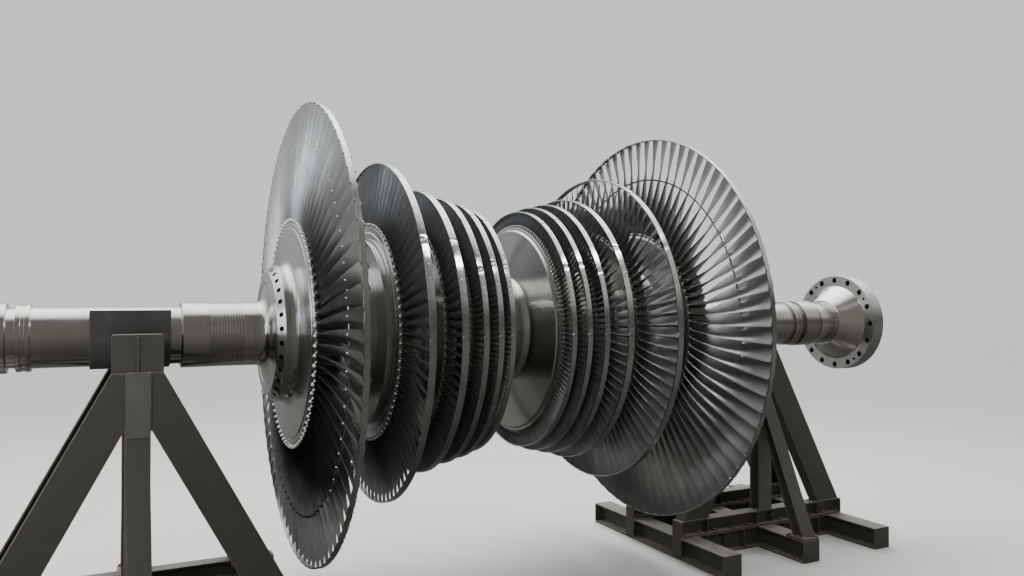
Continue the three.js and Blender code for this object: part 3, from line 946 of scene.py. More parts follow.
def band_loops(x, tip, width, lengths):
    """Cover band in `lengths` arcs with a hair gap between them: a softened oblong carried along each arc."""
    half = width / 2
    corners = [(x - half, tip - BAND), (x + half, tip - BAND), (x + half, tip), (x - half, tip)]
    section = soften(corners, BAND_CORNER, closed=True, steps=2)
    pitch = FULL_TURN / lengths
    gap = BAND_GAP / tip
    arc = np.linspace(gap, pitch - gap, 1 + ROUND_STEPS // lengths)
    angle = (np.arange(lengths) * pitch)[:, None, None] + arc[None, :, None]
    return around_axis(section[None, None, :, 0], section[None, None, :, 1], angle)


def tenon_loops(side, x, tip, width, count, turn):
    """Flattened tenon heads on the band: low ovals along the blade, |u| up to a quarter of the band's
    width."""
    f = np.arange(10) * FULL_TURN / 10
    levels = np.array([tip - 0.001, tip + 0.0006, tip + 0.0011])[:, None]
    size = np.array([1.0, 1.0, 0.7])[:, None]
    p = 0.26 * width * size * np.cos(f)
    q = 0.0045 * size * np.sin(f)
    lean = math.radians(turn)
    u = p * math.cos(lean) + q * math.sin(lean)
    v = -p * math.sin(lean) + q * math.cos(lean)
    return round_row(side, x, u, v, levels, count)


def wire_outline(x, radius, size):
    """A small circle in the plane of the outline."""
    f = np.arange(8) * FULL_TURN / 8
    return np.stack([x + size * np.cos(f), radius + size * np.sin(f)], axis=-1)


def cover_loops(side, x, tip, width, count):
    """Tip covers that lock into one rim: plates one pitch long with a Z cut at each end, and edges turned
    by a few hundredths so that each plate steps past the next. A loop runs round the plate's section at one
    place along the rim; v is that place plus half of the Z, and falls as u grows on the right side."""
    half = width / 2
    cut, skew, thick, edge = 0.006, 0.05, 0.0075, 0.0012
    length = FULL_TURN * tip / count - COVER_GAP
    u = np.array([-half, -half + edge, -cut, cut, half - edge, half, half - edge, cut, -cut, -half + edge])
    r = tip - thick * np.array([0.5, 0, 0, 0, 0, 0.5, 1, 1, 1, 1])
    along = np.linspace(-0.5, 0.5, 6)[:, None] * length
    v = along + cut * np.clip(-u / cut, -1, 1)[None]
    return round_row(side, x, u[None] + skew * along, v, r, count, tip)


BAND_LENGTHS = {2: 12, 3: 10, 4: 14, 5: 12, 6: 12}
COVER_WIDTH, UNDER_COVER, SUNK = 0.030, 0.007, 0.001
WIRE_RADIUS, WIRE_THIN, WIRE_SHIFT = 1.041, 0.0066, 0.004
STUD_SIZE, STUD_SIDES, STUD_SECTION, STUD_POINT = 0.0058, 8, 9, 5
print("tie wire", round(2000 * WIRE_THIN, 1), "mm thick, at radius", WIRE_RADIUS)

# %% [markdown]
# Each row reads its place and width from its own solid, and the rim below gives the radius of its roots.
# One source of chance, always started alike, gives every blade its tone.

# %% Blade rows
# painted shade on the top level of each root block, given through the "hole" value
ROOT_TOP_SHADE = [0.0, 0.0, 0.0, 0.85]
tone_source = np.random.default_rng(11)


def add_band(name, side, x, tip, number, shape):
    """The cover band of a row, in lengths, with a tenon for each blade."""
    low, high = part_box(name)
    strips = band_loops(x, tip, high.x - low.x, BAND_LENGTHS[number])
    stacked_piece(f"{name}_strips", strips, band_steel, [name])
    heads = tenon_loops(side, x, tip, high.x - low.x, shape["count"], shape["turn"][1])
    stacked_piece(f"{name}_tenons", heads, band_steel, sharp=50)


def add_tip(name, word, side, x, tip, loops):
    """Tip covers, tie wire and studs of the last row. A stud sits a quarter of the way from one section of
    its blade to the next."""
    covers = cover_loops(side, x, tip, COVER_WIDTH, len(loops))
    stacked_piece(f"{name}_covers", covers, band_steel, sharp=50)
    outline = wire_outline(x + side * WIRE_SHIFT, WIRE_RADIUS, WIRE_THIN)
    turned_piece(f"tie_wire_{word}", outline, band_steel)
    places = 0.75 * loops[:, STUD_SECTION, STUD_POINT] + 0.25 * loops[:, STUD_SECTION + 1, STUD_POINT]
    # the studs take the painted highlight finish
    stacked_piece(f"{name}_studs", stud_loops(places, STUD_SIZE, STUD_SIDES), painted_glint_steel)


for word, side in SIDES.items():
    for number, shape in BLADE_SHAPES.items():
        name, band = f"blades_{word}_{number}", f"band_{word}_{number}"
        low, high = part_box(name)
        x, width, count = (low.x + high.x) / 2, high.x - low.x, shape["count"]
        root = rim_radius[min(number, 4)] + PLATFORM + SEAT
        banded = number in BAND_LENGTHS
        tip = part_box(band)[1].y if banded else high.y
        loops = blade_loops(side, x, root - SUNK, tip - BAND + SUNK if banded else tip - UNDER_COVER, shape)
        tones = np.repeat(tone_source.random(count), loops.shape[1] * loops.shape[2])
        finish = inner_blade_steel if banded else blade_steel
        stacked_piece(f"{name}_foils", loops, finish, [name], {"tone": tones}, sharp=40)
        blocks = platform_loops(side, x, root, width, count, shape["turn"][0], ROOT_STEPS[number])
        # painted shade on the root tops
        between = np.broadcast_to(np.array(ROOT_TOP_SHADE)[None, :, None], blocks.shape[:3])
        stacked_piece(f"{name}_roots", blocks, band_steel, fields={"hole": between.ravel()})
        if number in HEAD_SIZES:
            places = head_places(side, x, root, width, count, shape["turn"][0])
            heads = stud_loops(places, *HEAD_SIZES[number])
            # the root heads take the painted highlight finish
            stacked_piece(f"{name}_heads", heads, painted_glint_steel)
        if banded:
            add_band(band, side, x, tip, number, shape)
        else:
            add_tip(name, word, side, x, tip, loops)
print("blades on the rotor:", 2 * sum(shape["count"] for shape in BLADE_SHAPES.values()))

# %% [markdown]
# ## Couplings
# The coupling is a polished cone that widens to a thick satin flange. Sixteen bolt holes and four small
# jacking holes go right through. The flange is made like the balance holes, in 32 sectors: a bolt hole in
# every second one, a small hole in four of the others, and plain metal in the rest.

# %% Coupling outlines
FLANGE_BACK, FLANGE_FACE, FLANGE_EDGE = 3.163, 3.274, 0.382
DRILLED_FROM, DRILLED_TO, BOLT_CIRCLE = 0.309, 0.377, 0.346
coupling_cone = [
    (3.168, 0.130), (3.168, 0.298), (3.162, 0.298), (3.156, 0.292), (3.016, 0.180), (3.008, 0.180),
    (3.008, 0.165), (2.842, 0.165), (2.842, 0.145), (2.817, 0.145), (2.817, 0.130),
]
coupling_inner = [
    (FLANGE_BACK, DRILLED_FROM), (FLANGE_BACK, 0.130), (3.262, 0.130), (3.262, 0.185), (FLANGE_FACE, 0.185),
    (FLANGE_FACE, DRILLED_FROM),
]
coupling_outer = [
    (FLANGE_FACE, DRILLED_TO), (FLANGE_FACE, FLANGE_EDGE), (FLANGE_BACK, FLANGE_EDGE),
    (FLANGE_BACK, DRILLED_TO),
]
print("flange", round(FLANGE_FACE - FLANGE_BACK, 3), "thick and", 2 * FLANGE_EDGE, "across")

# %% [markdown]
# The holes of the flange go from one face to the other, so their sectors are made on both faces and joined
# by the walls of the holes.

# %% Couplings
FLANGE_SECTORS = 32
BOLT_HOLE, SMALL_HOLE, PLAIN_CIRCLE = 0.022, 0.011, 0.012
# painted shade: how dark the walls of the flange holes are made
FLANGE_HOLE_SHADE = 0.8
BOLT_SECTORS = np.arange(0, FLANGE_SECTORS, 2)
SMALL_SECTORS = np.array([5, 13, 21, 29])
PLAIN_SECTORS = np.setdiff1d(np.arange(1, FLANGE_SECTORS, 2), SMALL_SECTORS)


def flange_sectors(side, x, hole, chosen):
    """Some of the 32 sectors of a flange face at x."""
    steps = ROUND_STEPS // FLANGE_SECTORS
    ring = (DRILLED_FROM, DRILLED_TO, BOLT_CIRCLE)
    return drilled_sectors(side * x, *ring, hole, FLANGE_SECTORS, chosen, steps)


def flange_holes(side, hole, chosen):
    """Sectors on both faces of the flange, joined by the walls of their through holes."""
    face, back = (flange_sectors(side, x, hole, chosen) for x in (FLANGE_FACE, FLANGE_BACK))
    walls = [face[:, -1:] - [side * HOLE_EDGE, 0, 0], back[:, -1:] + [side * HOLE_EDGE, 0, 0]]
    points, faces = sector_mesh_data(np.concatenate([face, *walls, back[:, ::-1]], axis=1), side < 0, False)
    return points, faces, radial_uv(points)


def flange_plain(side, x, flip):
    """Sectors without a hole on one face."""
    points, faces = sector_mesh_data(flange_sectors(side, x, PLAIN_CIRCLE, PLAIN_SECTORS), flip, True)
    return points, faces, radial_uv(points)


def in_holes(points, seat):
    """1 for points that lie between the two faces and between the radii of the drilled ring, at least `seat`
    inside each limit, and 0 for all others."""
    x = np.abs(points[:, 0])
    radius = np.hypot(points[:, 1], points[:, 2] - AXIS_Z)
    between_faces = (x > FLANGE_BACK + seat) & (x < FLANGE_FACE - seat)
    return 1.0 * (between_faces & (radius > DRILLED_FROM + seat) & (radius < DRILLED_TO - seat))


for word, side in SIDES.items():
    pieces = []
    for outline in (coupling_inner, coupling_outer):
        points, faces, uv = turned_parts(soften(on_side(side, outline), FILED), False)
        pieces.append((points, [faces], uv))
    pieces.append(flange_holes(side, BOLT_HOLE, BOLT_SECTORS))
    pieces.append(flange_holes(side, SMALL_HOLE, SMALL_SECTORS))
    pieces.append(flange_plain(side, FLANGE_FACE, side < 0))
    pieces.append(flange_plain(side, FLANGE_BACK, side > 0))
    points, faces, uv = join_parts(pieces)
    # painted shade: the walls of the flange holes take the dark hole colour
    inside = FLANGE_HOLE_SHADE * in_holes(points, 0.001)
    mesh = new_mesh(f"coupling_{word}_flange", points, faces, {"hole": inside}, uv)
    close_up(mesh)
    place_piece(mesh.name, mesh, "rotor", coupling_steel, [f"coupling_{word}"], sharp=50)
    cone = soften(on_side(side, coupling_cone), FILED, closed=True)
    turned_piece(f"coupling_{word}_cone", cone, cone_steel)
print("holes in a flange:", len(BOLT_SECTORS), "for bolts and", len(SMALL_SECTORS), "small ones")

# %% [markdown]
# ## The two stands
# The photograph shows the upper half of one stand: a painted head beside the black padding with a narrow
# rib up its middle, a post below it and a leg that rakes outwards. The rest is built the way such stands
# are made, from rolled channels and I sections that are cut, butted and welded, on a bolted base of
# crossed beams.
#
# Every bar is one section swept along a straight line, and every plate is an outline with thickness. Both
# carry an "edge" value that is 1 on their corners, so that the paint knows where it has been knocked off.

# %% Bars and plates
def closed_solids(loops, edge):
    """Closed solids from stacked loops (solids, levels, points, 3) with one many-sided face on each end."""
    solids, levels, count, _ = loops.shape
    starts = (np.arange(solids) * levels * count)[:, None, None]
    sides = (grid_quads(levels, count)[None] + starts).reshape(-1, 4)
    ends = np.arange(count)[None] + np.array([[0], [(levels - 1) * count]])
    ends = (ends[None] + starts).reshape(-1, 2, count)
    faces = [sides, ends[:, 0, ::-1], ends[:, 1]]
    points = loops.reshape(-1, 3)
    if signed_volume(points, faces) < 0:
        faces = [face_set[:, ::-1] for face_set in faces]
    return points, faces, np.broadcast_to(edge, loops.shape[:3]).ravel()


def bar(section, start, end, across, cuts=(None, None), radius=0.005):
    """A section (u, v) carried from start to end, u along `across` and v square to it. Each end is cut by
    the plane through its point that is square to the bar, or to the given normal."""
    start, end, across = (np.asarray(value, float) for value in (start, end, across))
    way = unit(end - start)
    ring, edge = soften(section, radius, closed=True, steps=2, with_edge=True)
    lines = ring[:, :1] * across + ring[:, 1:] * np.cross(way, across)
    ends = []
    for point, normal in ((start, cuts[0]), (end, cuts[1])):
        normal = way if normal is None else np.asarray(normal, float)
        ends.append(point + lines - ((lines @ normal) / (way @ normal))[:, None] * way)
    worn = 0.012 * way
    loops = np.stack([ends[0], ends[0] + worn, ends[1] - worn, ends[1]])
    return closed_solids(loops[None], np.stack([np.ones_like(edge), edge, edge, np.ones_like(edge)])[None])


def inset(outline, distance):
    """A closed outline drawn inwards: each corner moves by d (n1 + n2) / (1 + n1 . n2), with n1 and n2 the
    inward normals of its two sides."""
    corners = np.asarray(outline, float)
    after = np.roll(corners, -1, axis=0)
    area = np.sum(corners[:, 0] * after[:, 1] - corners[:, 1] * after[:, 0])
    side = unit(after - corners)
    normal = np.stack([-side[:, 1], side[:, 0]], axis=-1) * np.sign(area)
    before = np.roll(normal, 1, axis=0)
    return corners + distance * (normal + before) / (1 + np.sum(normal * before, axis=1, keepdims=True))


def plate(outline, low, high, axis, corner=0.003, bevel=0.0015, worn=0.007):
    """An outline given thickness along an axis, with bevelled rims. The outline holds (y, z) for axis 0,
    (x, z) for axis 1 and (x, y) for axis 2."""
    deep = min(worn, 0.3 * (high - low))
    one_end = [(worn, 0, 0), (bevel, 0, 0.6), (0.3 * bevel, 0.3 * bevel, 1), (0, bevel, 0.6), (0, deep, 0)]
    levels = [(draw, low + rise, value) for draw, rise, value in one_end]
    levels += [(draw, high - rise, value) for draw, rise, value in one_end[::-1]]
    loops, edges = [], []
    for draw, place, value in levels:
        ring, edge = soften(inset(outline, draw), corner, closed=True, steps=2, with_edge=True)
        loops.append(np.insert(ring, axis, place, axis=1))
        edges.append(np.maximum(edge, value) if draw == 0 else np.full(len(edge), float(value)))
    return closed_solids(np.stack(loops)[None], np.stack(edges)[None])


print("points of a plate:", len(plate([(0, 0), (1, 0), (1, 1), (0, 1)], 0.0, 0.01, 2)[0]))

# %% [markdown]
# A section is drawn with u across and v up: round its middle, or from its flat back if it is a channel. Two
# helpers lay a bar along X or Y, because most bars of the stand are level.

# %% Sections
def rectangle(left, right, bottom, top):
    """The four corners of an oblong."""
    return [(left, bottom), (right, bottom), (right, top), (left, top)]


def i_section(width, depth, web, flange):
    """An I: flanges of `width` at both ends of `depth`, joined by the web."""
    half, reach, core, inner = width / 2, depth / 2, web / 2, depth / 2 - flange
    quarter = [(half, -reach), (half, -inner), (core, -inner)]
    right = quarter + [(u, -v) for u, v in quarter[::-1]]
    return right + [(-u, -v) for u, v in right]


def channel_section(width, depth, thick):
    """A channel with its flat back at v = 0 and its open side towards positive v."""
    half, inner = width / 2, width / 2 - thick
    right = [(half, 0), (half, depth), (inner, depth), (inner, thick)]
    return [(-half, 0), *right, (-inner, thick), (-inner, depth), (-half, depth)]


def bar_along(section, half, y, z):
    """A bar along X, as long on both sides of the middle."""
    return bar(section, (-half, y, z), (half, y, z), (0, 1, 0))


def bar_across(section, half, x, z):
    """A bar along Y, as long on both sides of the middle."""
    return bar(section, (x, -half, z), (x, half, z), (-1, 0, 0))


print("corners of an I section:", len(i_section(0.1, 0.15, 0.01, 0.013)))

# %% [markdown]
# Bolts and welds are what shows that the stand was put together. A bolt is a washer and a six-sided head
# in five rings of points; a weld is a bead with ripples.

# %% Bolts and welds
def hex_bolts(places, way, size):
    """Hexagon heads on washers. The radius over the flats is cos 30 / cos(f - 30) for f within each sixth."""
    way = np.asarray(way, float)
    first = np.array([way[1], way[2], way[0]])
    second = np.cross(way, first)
    f = np.arange(12) * math.pi / 6
    six = math.cos(math.pi / 6) / np.cos(np.mod(f, math.pi / 3) - math.pi / 6)
    rise = np.array([-0.05, 0.18, 0.18, 0.80, 0.92])[:, None]
    radius = np.array([1.25, 1.25, 1.0, 1.0, 0.88])[:, None]
    sided = np.array([0, 0, 1, 1, 0.6])[:, None]
    radius = size * radius * (1 - sided + sided * six[None])
    shape = radius[..., None] * (np.cos(f)[:, None] * first + np.sin(f)[:, None] * second)
    shape = shape + size * rise[..., None] * way
    edge = np.broadcast_to(np.array([0.2, 0.5, 0.2, 0.7, 0.9])[:, None], shape.shape[:2])
    return closed_solids(np.asarray(places, float)[:, None, None] + shape[None], edge[None])


def weld(start, end, size=0.0055):
    """A bead laid along a line: rings of six points every 6 mm, thick and thin by turns, drawn in at both
    ends."""
    start, end = np.asarray(start, float), np.asarray(end, float)
    way = unit(end - start)
    first = unit(np.cross(way, [0.31, 0.52, 0.79]))
    second = np.cross(way, first)
    count = max(4, int(np.linalg.norm(end - start) / 0.006))
    k = np.arange(count + 1)
    ripple = size * (1 + 0.16 * np.cos(math.pi * k)) * np.where((k == 0) | (k == count), 0.4, 1.0)
    f = np.arange(6) * math.pi / 3
    ring = np.cos(f)[:, None] * first + np.sin(f)[:, None] * second
    centre = start + (end - start) * (k / count)[:, None]
    return closed_solids((centre[:, None] + ripple[:, None, None] * ring[None])[None], 0.25)


print("points of a 10 cm weld:", len(weld((0, 0, 0), (0.1, 0, 0))[0]))

# %% [markdown]
# The paint is a thin dark olive-grey coat, dulled by dust that lies on level surfaces and rubbed through
# to primer and steel on its corners. The head, rib and post are paler than the legs. The padding is a
# strip of black rubber, matt, with grey scuffs.

# %% Paint and rubber
def painted(name, dark, pale):
    """Old paint: noise breaks up the worn corners, clouds change the tone, and dust lies on what faces
    upwards."""
    material, tree, shader, place = new_material(name)
    film = cloud_mask(tree, place, 4.0)
    upward = coordinates(tree, node(tree, "ShaderNodeNewGeometry").outputs["Normal"])[2]
    dust = arithmetic(tree, "MULTIPLY", ramp(tree, upward, 0.4, 0.95), ramp(tree, film, 0.0, 1.0, 0.45, 0.85))
    wear = arithmetic(tree, "MULTIPLY_ADD", attribute(tree, "edge"), 0.62, noise(tree, place, 34.0, 5.0))
    rubbed = ramp(tree, wear, 0.96, 1.04)
    bare = ramp(tree, wear, 1.08, 1.14)
    layers = (
        (arithmetic(tree, "MULTIPLY", film, 0.35), (0.045, 0.042, 0.034)),
        (dust, (0.22, 0.205, 0.18)),
        (rubbed, (0.23, 0.13, 0.085)),
        (bare, (0.42, 0.41, 0.39)),
    )
    colour = blend_colour(tree, attribute(tree, "tone"), dark, pale)
    for amount, layer_colour in layers:
        colour = blend_colour(tree, amount, colour, layer_colour)
    height = arithmetic(tree, "MULTIPLY_ADD", rubbed, -0.6, noise(tree, place, 210.0, 2.0))
    feed(tree, shader, {
        "Base Color": colour,
        "Metallic": bare,
        "Roughness": ramp(tree, arithmetic(tree, "MAXIMUM", dust, rubbed), 0.0, 1.0, 0.46, 0.78),
        "Normal": bump(tree, height, 0.35, 0.0004),
    })
    return material


def rubber(name):
    """Black rubber with grey scuffs, paler edges and a faint grain."""
    material, tree, shader, place = new_material(name)
    scuffs = cloud_mask(tree, place, 11.0, 0.5, 0.75)
    scuffed = arithmetic(tree, "MULTIPLY", scuffs, 0.55)
    grey = arithmetic(tree, "MULTIPLY_ADD", attribute(tree, "edge"), 0.35, scuffed, clamp=True)
    feed(tree, shader, {
        "Base Color": blend_colour(tree, grey, (0.050, 0.047, 0.047), (0.115, 0.108, 0.105)),
        "Roughness": ramp(tree, scuffs, 0.0, 1.0, 0.55, 0.8),
        "Normal": bump(tree, noise(tree, place, 420.0, 2.0), 0.3, 0.0003),
    })
    return material


stand_paint = painted("stand_paint", (0.052, 0.051, 0.042), (0.105, 0.107, 0.100))
lining_rubber = rubber("lining_rubber")
print("paints:", stand_paint.name, lining_rubber.name)

# %% [markdown]
# The base comes first: two rails under the side frames and three crossed beams that reach out on both
# sides to catch the side struts. The crossed beams are a hair lower than the rails, as they would be after
# welding.

# %% Base beams
RAIL_Y, RAIL_HALF, BASE_TOP, BASE_MIDDLE = 0.280, 0.764, 0.150, 0.075
CROSS_X, CROSS_HALF, CROSS_HEIGHT, REACH_Y = (-0.696, 0.0, 0.696), 0.752, 0.1484, 0.760
STIFFENER_X = (-0.548, -0.374, -0.20, 0.192, 0.366, 0.540)
WELD_Y, WELD_TOP = (-0.34, -0.222, 0.222, 0.34), 0.1485
THIN_PLATE = 0.008


def end_plates(places, y, bottom, top):
    """Plates that close the ends of a rail, each starting at its own place along X."""
    face = rectangle(y - 0.049, y + 0.049, bottom, top)
    return [plate(face, x, x + THIN_PLATE, 0) for x in places]


def stiffeners(places, y, bottom, top):
    """Plates between the flanges of a rail, one on each side of its web at every place."""
    halves = ((y - 0.047, y - 0.004), (y + 0.004, y + 0.047))
    return [plate(rectangle(*half, bottom, top), x, x + THIN_PLATE, 0) for x in places for half in halves]


base_parts = []
for y in (-RAIL_Y, RAIL_Y):
    rail = i_section(0.100, BASE_TOP, 0.010, 0.013)
    base_parts.append(bar_along(rail, RAIL_HALF, y, BASE_MIDDLE))
    base_parts.extend(end_plates((-0.771, 0.763), y, 0.001, 0.149))
    base_parts.extend(stiffeners(STIFFENER_X, y, 0.011, 0.139))
for x in CROSS_X:
    crossed = i_section(0.150, CROSS_HEIGHT, 0.010, 0.013)
    base_parts.append(bar_across(crossed, CROSS_HALF, x, BASE_MIDDLE))
    for low, high in ((-REACH_Y, -0.750), (0.750, REACH_Y)):
        base_parts.append(plate(rectangle(x - 0.074, x + 0.074, 0.0012, 0.1488), low, high, 1))
    for y in WELD_Y:
        base_parts.append(weld((x - 0.074, y, WELD_TOP), (x + 0.074, y, WELD_TOP), 0.004))
print("base parts", len(base_parts))

# %% [markdown]
# A side frame is a post between two raking legs on a bottom rail. Post and rail are I sections; the legs
# are channels with their flat backs outwards, 2 to 3 mm behind the faces of the post. The head is a thick
# plate with one rib.

# %% Side frames
FACE_Y, FOOT, SHOULDER = 0.330, 0.259, 1.4285
LEG_OUT, LEG_UP = 0.651, 1.218
SLOPE = np.array([LEG_OUT, 0.0, LEG_UP]) / math.hypot(LEG_OUT, LEG_UP)
LEG_WIDTH, HALF_LEG, LEG_TOP, LEG_FOOT_X, LEG_FOOT_Z = 0.186, 0.0935, 1.4265, 0.771, 0.210
HEAD_BACK, HEAD_FRONT, HEAD_TOP, POST_TOP = 0.2303, 0.319, 1.620, 1.431
SIDE_RAIL_HALF, SIDE_RAIL_Z, SIDE_RAIL_HEIGHT = 0.762, 0.205, 0.109
BOLT_X, BOLT_Y, BOLT_Z = (0.16, 0.31, 0.46, 0.60, 0.73), (-0.029, 0.029), 0.1625
UPRIGHT = [0, 0, 1]


def frame_head(facing):
    """Head plate, rib, post and their welds: facing is -1 for the near frame and 1 for the far one."""
    outer, middle = FACE_Y * facing, RAIL_Y * facing
    head = rectangle(-0.120, 0.120, SHOULDER, 1.612)
    head[3:] = [(0.112, HEAD_TOP), (-0.112, HEAD_TOP), head[3]]
    rib = rectangle(-0.006, 0.006, SHOULDER, 1.610)
    post = i_section(0.120, 0.100, 0.010, 0.012)
    parts = [
        plate(head, *sorted((HEAD_BACK * facing, HEAD_FRONT * facing)), 1),
        plate(rib, *sorted((0.317 * facing, outer)), 1, worn=0.003),
        bar(post, (0, middle, FOOT - 0.002), (0, middle, POST_TOP), (1, 0, 0)),
        weld((-0.118, 0.322 * facing, SHOULDER), (0.118, 0.322 * facing, SHOULDER), 0.0045),
    ]
    for x in (-0.0085, 0.0085):
        parts.append(weld((x, 0.3195 * facing, SHOULDER + 0.004), (x, 0.3195 * facing, 1.604), 0.003))
    return parts


def frame_rail(facing):
    """The bottom rail with its end plates, stiffeners and bolts."""
    middle = RAIL_Y * facing
    section = i_section(0.100, SIDE_RAIL_HEIGHT, 0.009, 0.012)
    parts = [bar_along(section, SIDE_RAIL_HALF, middle, SIDE_RAIL_Z)]
    parts.extend(end_plates((-0.769, 0.761), middle, 0.151, 0.259))
    parts.extend(stiffeners((-0.534, -0.079, 0.071, 0.526), middle, 0.161, 0.249))
    places = [(side * x, middle + dy, BOLT_Z) for side in (-1, 1) for x in BOLT_X for dy in BOLT_Y]
    parts.append(hex_bolts(places, UPRIGHT, 0.015))
    return parts


def frame_legs(facing):
    """Both raking legs, their welds on the rail and their seams beside the post."""
    outer, middle = FACE_Y * facing, RAIL_Y * facing
    parts = []
    for turn in (-1, 1):
        way = SLOPE * [-turn, 1, 1]
        back = 0.328 if turn < 0 else 0.327
        foot_x, foot_z = LEG_FOOT_X - HALF_LEG * SLOPE[2], LEG_FOOT_Z - HALF_LEG * SLOPE[0]
        centre = np.array([turn * foot_x, back * facing, foot_z])
        ends = [centre + way * (z - centre[2]) / way[2] for z in (FOOT - 0.001, LEG_TOP)]
        across = np.cross([0, -facing, 0], way)
        parts.append(bar(channel_section(LEG_WIDTH, 0.096, 0.010), *ends, across, (UPRIGHT, UPRIGHT)))
        for y in (middle - 0.048, middle + 0.048):
            parts.append(weld((turn * 0.537, y, FOOT + 0.002), (turn * 0.742, y, FOOT + 0.002)))
        seam = [(turn * 0.062, outer - 0.002 * facing, z) for z in (1.150, 1.424)]
        parts.append(weld(*seam, 0.0045))
    return parts


print("legs rake", round(math.degrees(math.atan2(SLOPE[0], SLOPE[2])), 1), "degrees from upright")

# %% [markdown]
# From the head a tapered strut runs down to the end of the middle beam. It has two flange strips and a web
# between them, on a bolted foot.

# %% Struts
STRUT_HALF, STRUT_FOOT = 0.055, 0.1625
STRUT_FLANGES = ((1.1067, 0.740, -0.005), (0.9540, 0.640, 0.005))


def frame_strut(facing):
    """The strut of one side frame, from the outer face of the post to the end of the middle beam."""
    outer = FACE_Y * facing
    parts = []
    for top_z, foot_y, shift in STRUT_FLANGES:
        top, low = np.array([0, outer, top_z]), np.array([0, foot_y * facing, STRUT_FOOT])
        away = unit(np.cross(low - top, [facing, 0, 0]))
        away = away * np.sign(away[1] * facing)
        strip = rectangle(-STRUT_HALF, STRUT_HALF, -0.005, 0.005)
        parts.append(bar(strip, top + away * shift, low + away * shift, (1, 0, 0), ([0, 1, 0], UPRIGHT)))
    back = outer - 0.003 * facing
    web = [(back, 1.098), (back, 0.965), (0.644 * facing, 0.164), (0.732 * facing, 0.164)]
    parts.append(plate(web, -0.005, 0.005, 0, worn=0.004))
    foot = rectangle(-0.073, 0.073, *sorted((0.598 * facing, 0.757 * facing)))
    parts.append(plate(foot, 0.1505, 0.1635, 2))
    places = [(x, facing * y, 0.1635) for x in (-0.058, 0.058) for y in (0.618, 0.742)]
    parts.append(hex_bolts(places, UPRIGHT, 0.011))
    for z in (0.955, 1.105):
        parts.append(weld((-0.054, outer, z), (0.054, outer, z), 0.005))
    return parts


frame_parts = {}
for place, facing in (("near", -1), ("far", 1)):
    frame_parts[place] = frame_head(facing) + frame_rail(facing) + frame_legs(facing) + frame_strut(facing)
print("frame parts", len(frame_parts["near"]))

# %% [markdown]
# Between the two frames lies a short heavy beam, and on it the saddle: a base plate, upright plates with a
# half-round cut, and a bent plate in the cut that the rubber lies on.

# %% Beam and saddle
INSIDE, SEAT_RADIUS, BENT_PLATE, HEAVY_PLATE = 0.2297, 0.1715, 0.012, 0.012
BEAM_Z, BEAM_HALF = 1.19485, 0.218
SADDLE_FLOOR, SADDLE_TOP, UPRIGHT_X, UPRIGHT_THICK = 1.285, 1.590, (-0.115, -0.007, 0.101), 0.014


def half_round(radius, count):
    """Points of the half circle below the axis: (r cos a, axis height - r sin a) for a from 0 to pi."""
    return [(radius * math.cos(a), AXIS_Z - radius * math.sin(a)) for a in np.linspace(0, math.pi, count)]


beam_parts = [bar_across(i_section(0.200, 0.1497, 0.012, 0.016), BEAM_HALF, 0, BEAM_Z)]
for low in (-INSIDE, INSIDE - HEAVY_PLATE):
    beam_parts.append(plate(rectangle(-0.099, 0.099, 1.1205, 1.2692), low, low + HEAVY_PLATE, 1))
for y in (-0.1, -0.004, 0.092):
    for low, high in ((-0.094, -0.005), (0.005, 0.094)):
        beam_parts.append(plate(rectangle(low, high, 1.134, 1.256), y, y + THIN_PLATE, 1))
for facing in (-1, 1):
    places = [(x, facing * (INSIDE - HEAVY_PLATE), z) for x in (-0.072, 0.072) for z in (1.160, 1.230)]
    beam_parts.append(hex_bolts(places, (0, -facing, 0), 0.014))

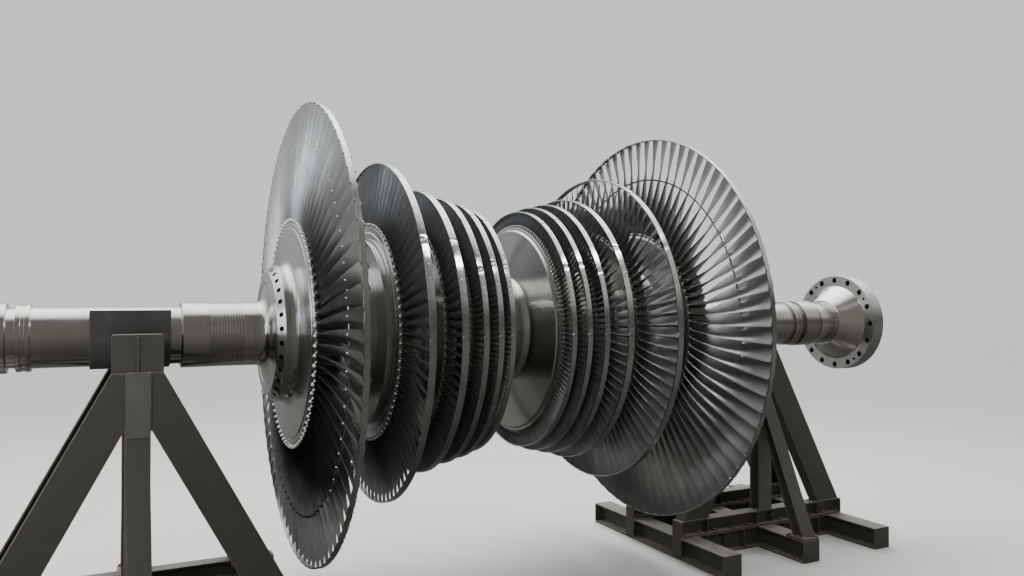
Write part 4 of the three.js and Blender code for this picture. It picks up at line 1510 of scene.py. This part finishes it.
seat = half_round(SEAT_RADIUS, 41)
corners = rectangle(-INSIDE, INSIDE, SADDLE_FLOOR, SADDLE_TOP)
notch = [(SEAT_RADIUS, SADDLE_TOP), *seat[1:-1], (-SEAT_RADIUS, SADDLE_TOP)]
upright = corners[:3] + notch + corners[3:]
bent = [(y, min(z, 1.588)) for y, z in seat[2:-2]] + half_round(SEAT_RADIUS + BENT_PLATE, 41)[::-1][2:-2]
saddle_parts = [plate(rectangle(-0.115, 0.115, -INSIDE, INSIDE), 1.270, 1.286, 2)]
for x in UPRIGHT_X:
    saddle_parts.append(plate(upright, x, x + UPRIGHT_THICK, 0, worn=0.005))
saddle_parts.append(plate(bent, -0.102, 0.102, 0, worn=0.003))
for low in (-INSIDE + 0.001, INSIDE - 0.011):
    saddle_parts.append(plate(rectangle(-0.102, 0.102, 1.284, 1.589), low, low + 0.010, 1))
print("beam parts", len(beam_parts), "and saddle parts", len(saddle_parts))

# %% [markdown]
# The lining is a strip of rubber bent into a U. It lies under the journal and stands up on both sides of
# it.

# %% Lining
PAD_IN, PAD_OUT, PAD_TOP, PAD_HALF = 0.1572, 0.1711, 1.740, 0.192
outside = [(PAD_OUT, PAD_TOP), *half_round(PAD_OUT, 49), (-PAD_OUT, PAD_TOP)]
inside = [(-PAD_IN, PAD_TOP), *half_round(PAD_IN, 49)[::-1], (PAD_IN, PAD_TOP)]
pad_parts = [plate(outside + inside, -PAD_HALF, PAD_HALF, 0, corner=0.004, bevel=0.003, worn=0.005)]
print("lining", round(1000 * (PAD_OUT - PAD_IN), 1), "mm thick")

# %% [markdown]
# Both stands are alike, so their parts were made once, round x = 0. Each copy is moved to the middle of
# its own solids. The first three parts of a side frame are head, rib and post, which have the paler paint.

# %% Placing both stands
PALE_FRAME = {0: 0.10, 1: 0.22, 2: 0.72}


def stand_piece(name, shift, parts, material, replaced, pale):
    """Bars and plates joined into one piece of a stand. `pale` says how much lighter the paint of some
    parts is."""
    points, faces, edge = join_parts(parts)
    tone = np.concatenate([np.full(len(part[0]), pale.get(k, 0.0)) for k, part in enumerate(parts)])
    mesh = new_mesh(name, points + np.asarray(shift, float), faces, {"edge": edge, "tone": tone})
    place_piece(name, mesh, "stands", material, replaced, sharp=40)


for word in SIDES:
    low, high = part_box(f"stand_{word}_base")
    shift = ((low.x + high.x) / 2, 0.0, 0.0)
    kinds = [("base", base_parts, {}), ("beam", beam_parts, {}), ("saddle", saddle_parts, {})]
    kinds += [(f"frame_{place}", parts, PALE_FRAME) for place, parts in frame_parts.items()]
    for kind, parts, pale in kinds:
        name = f"stand_{word}_{kind}"
        stand_piece(name + "_steel", shift, parts, stand_paint, [name], pale)
    name = f"stand_{word}_lining"
    low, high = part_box(name)
    shift = ((low.x + high.x) / 2, 0.0, 0.0)
    stand_piece(name + "_strip", shift, pad_parts, lining_rubber, [name], {})
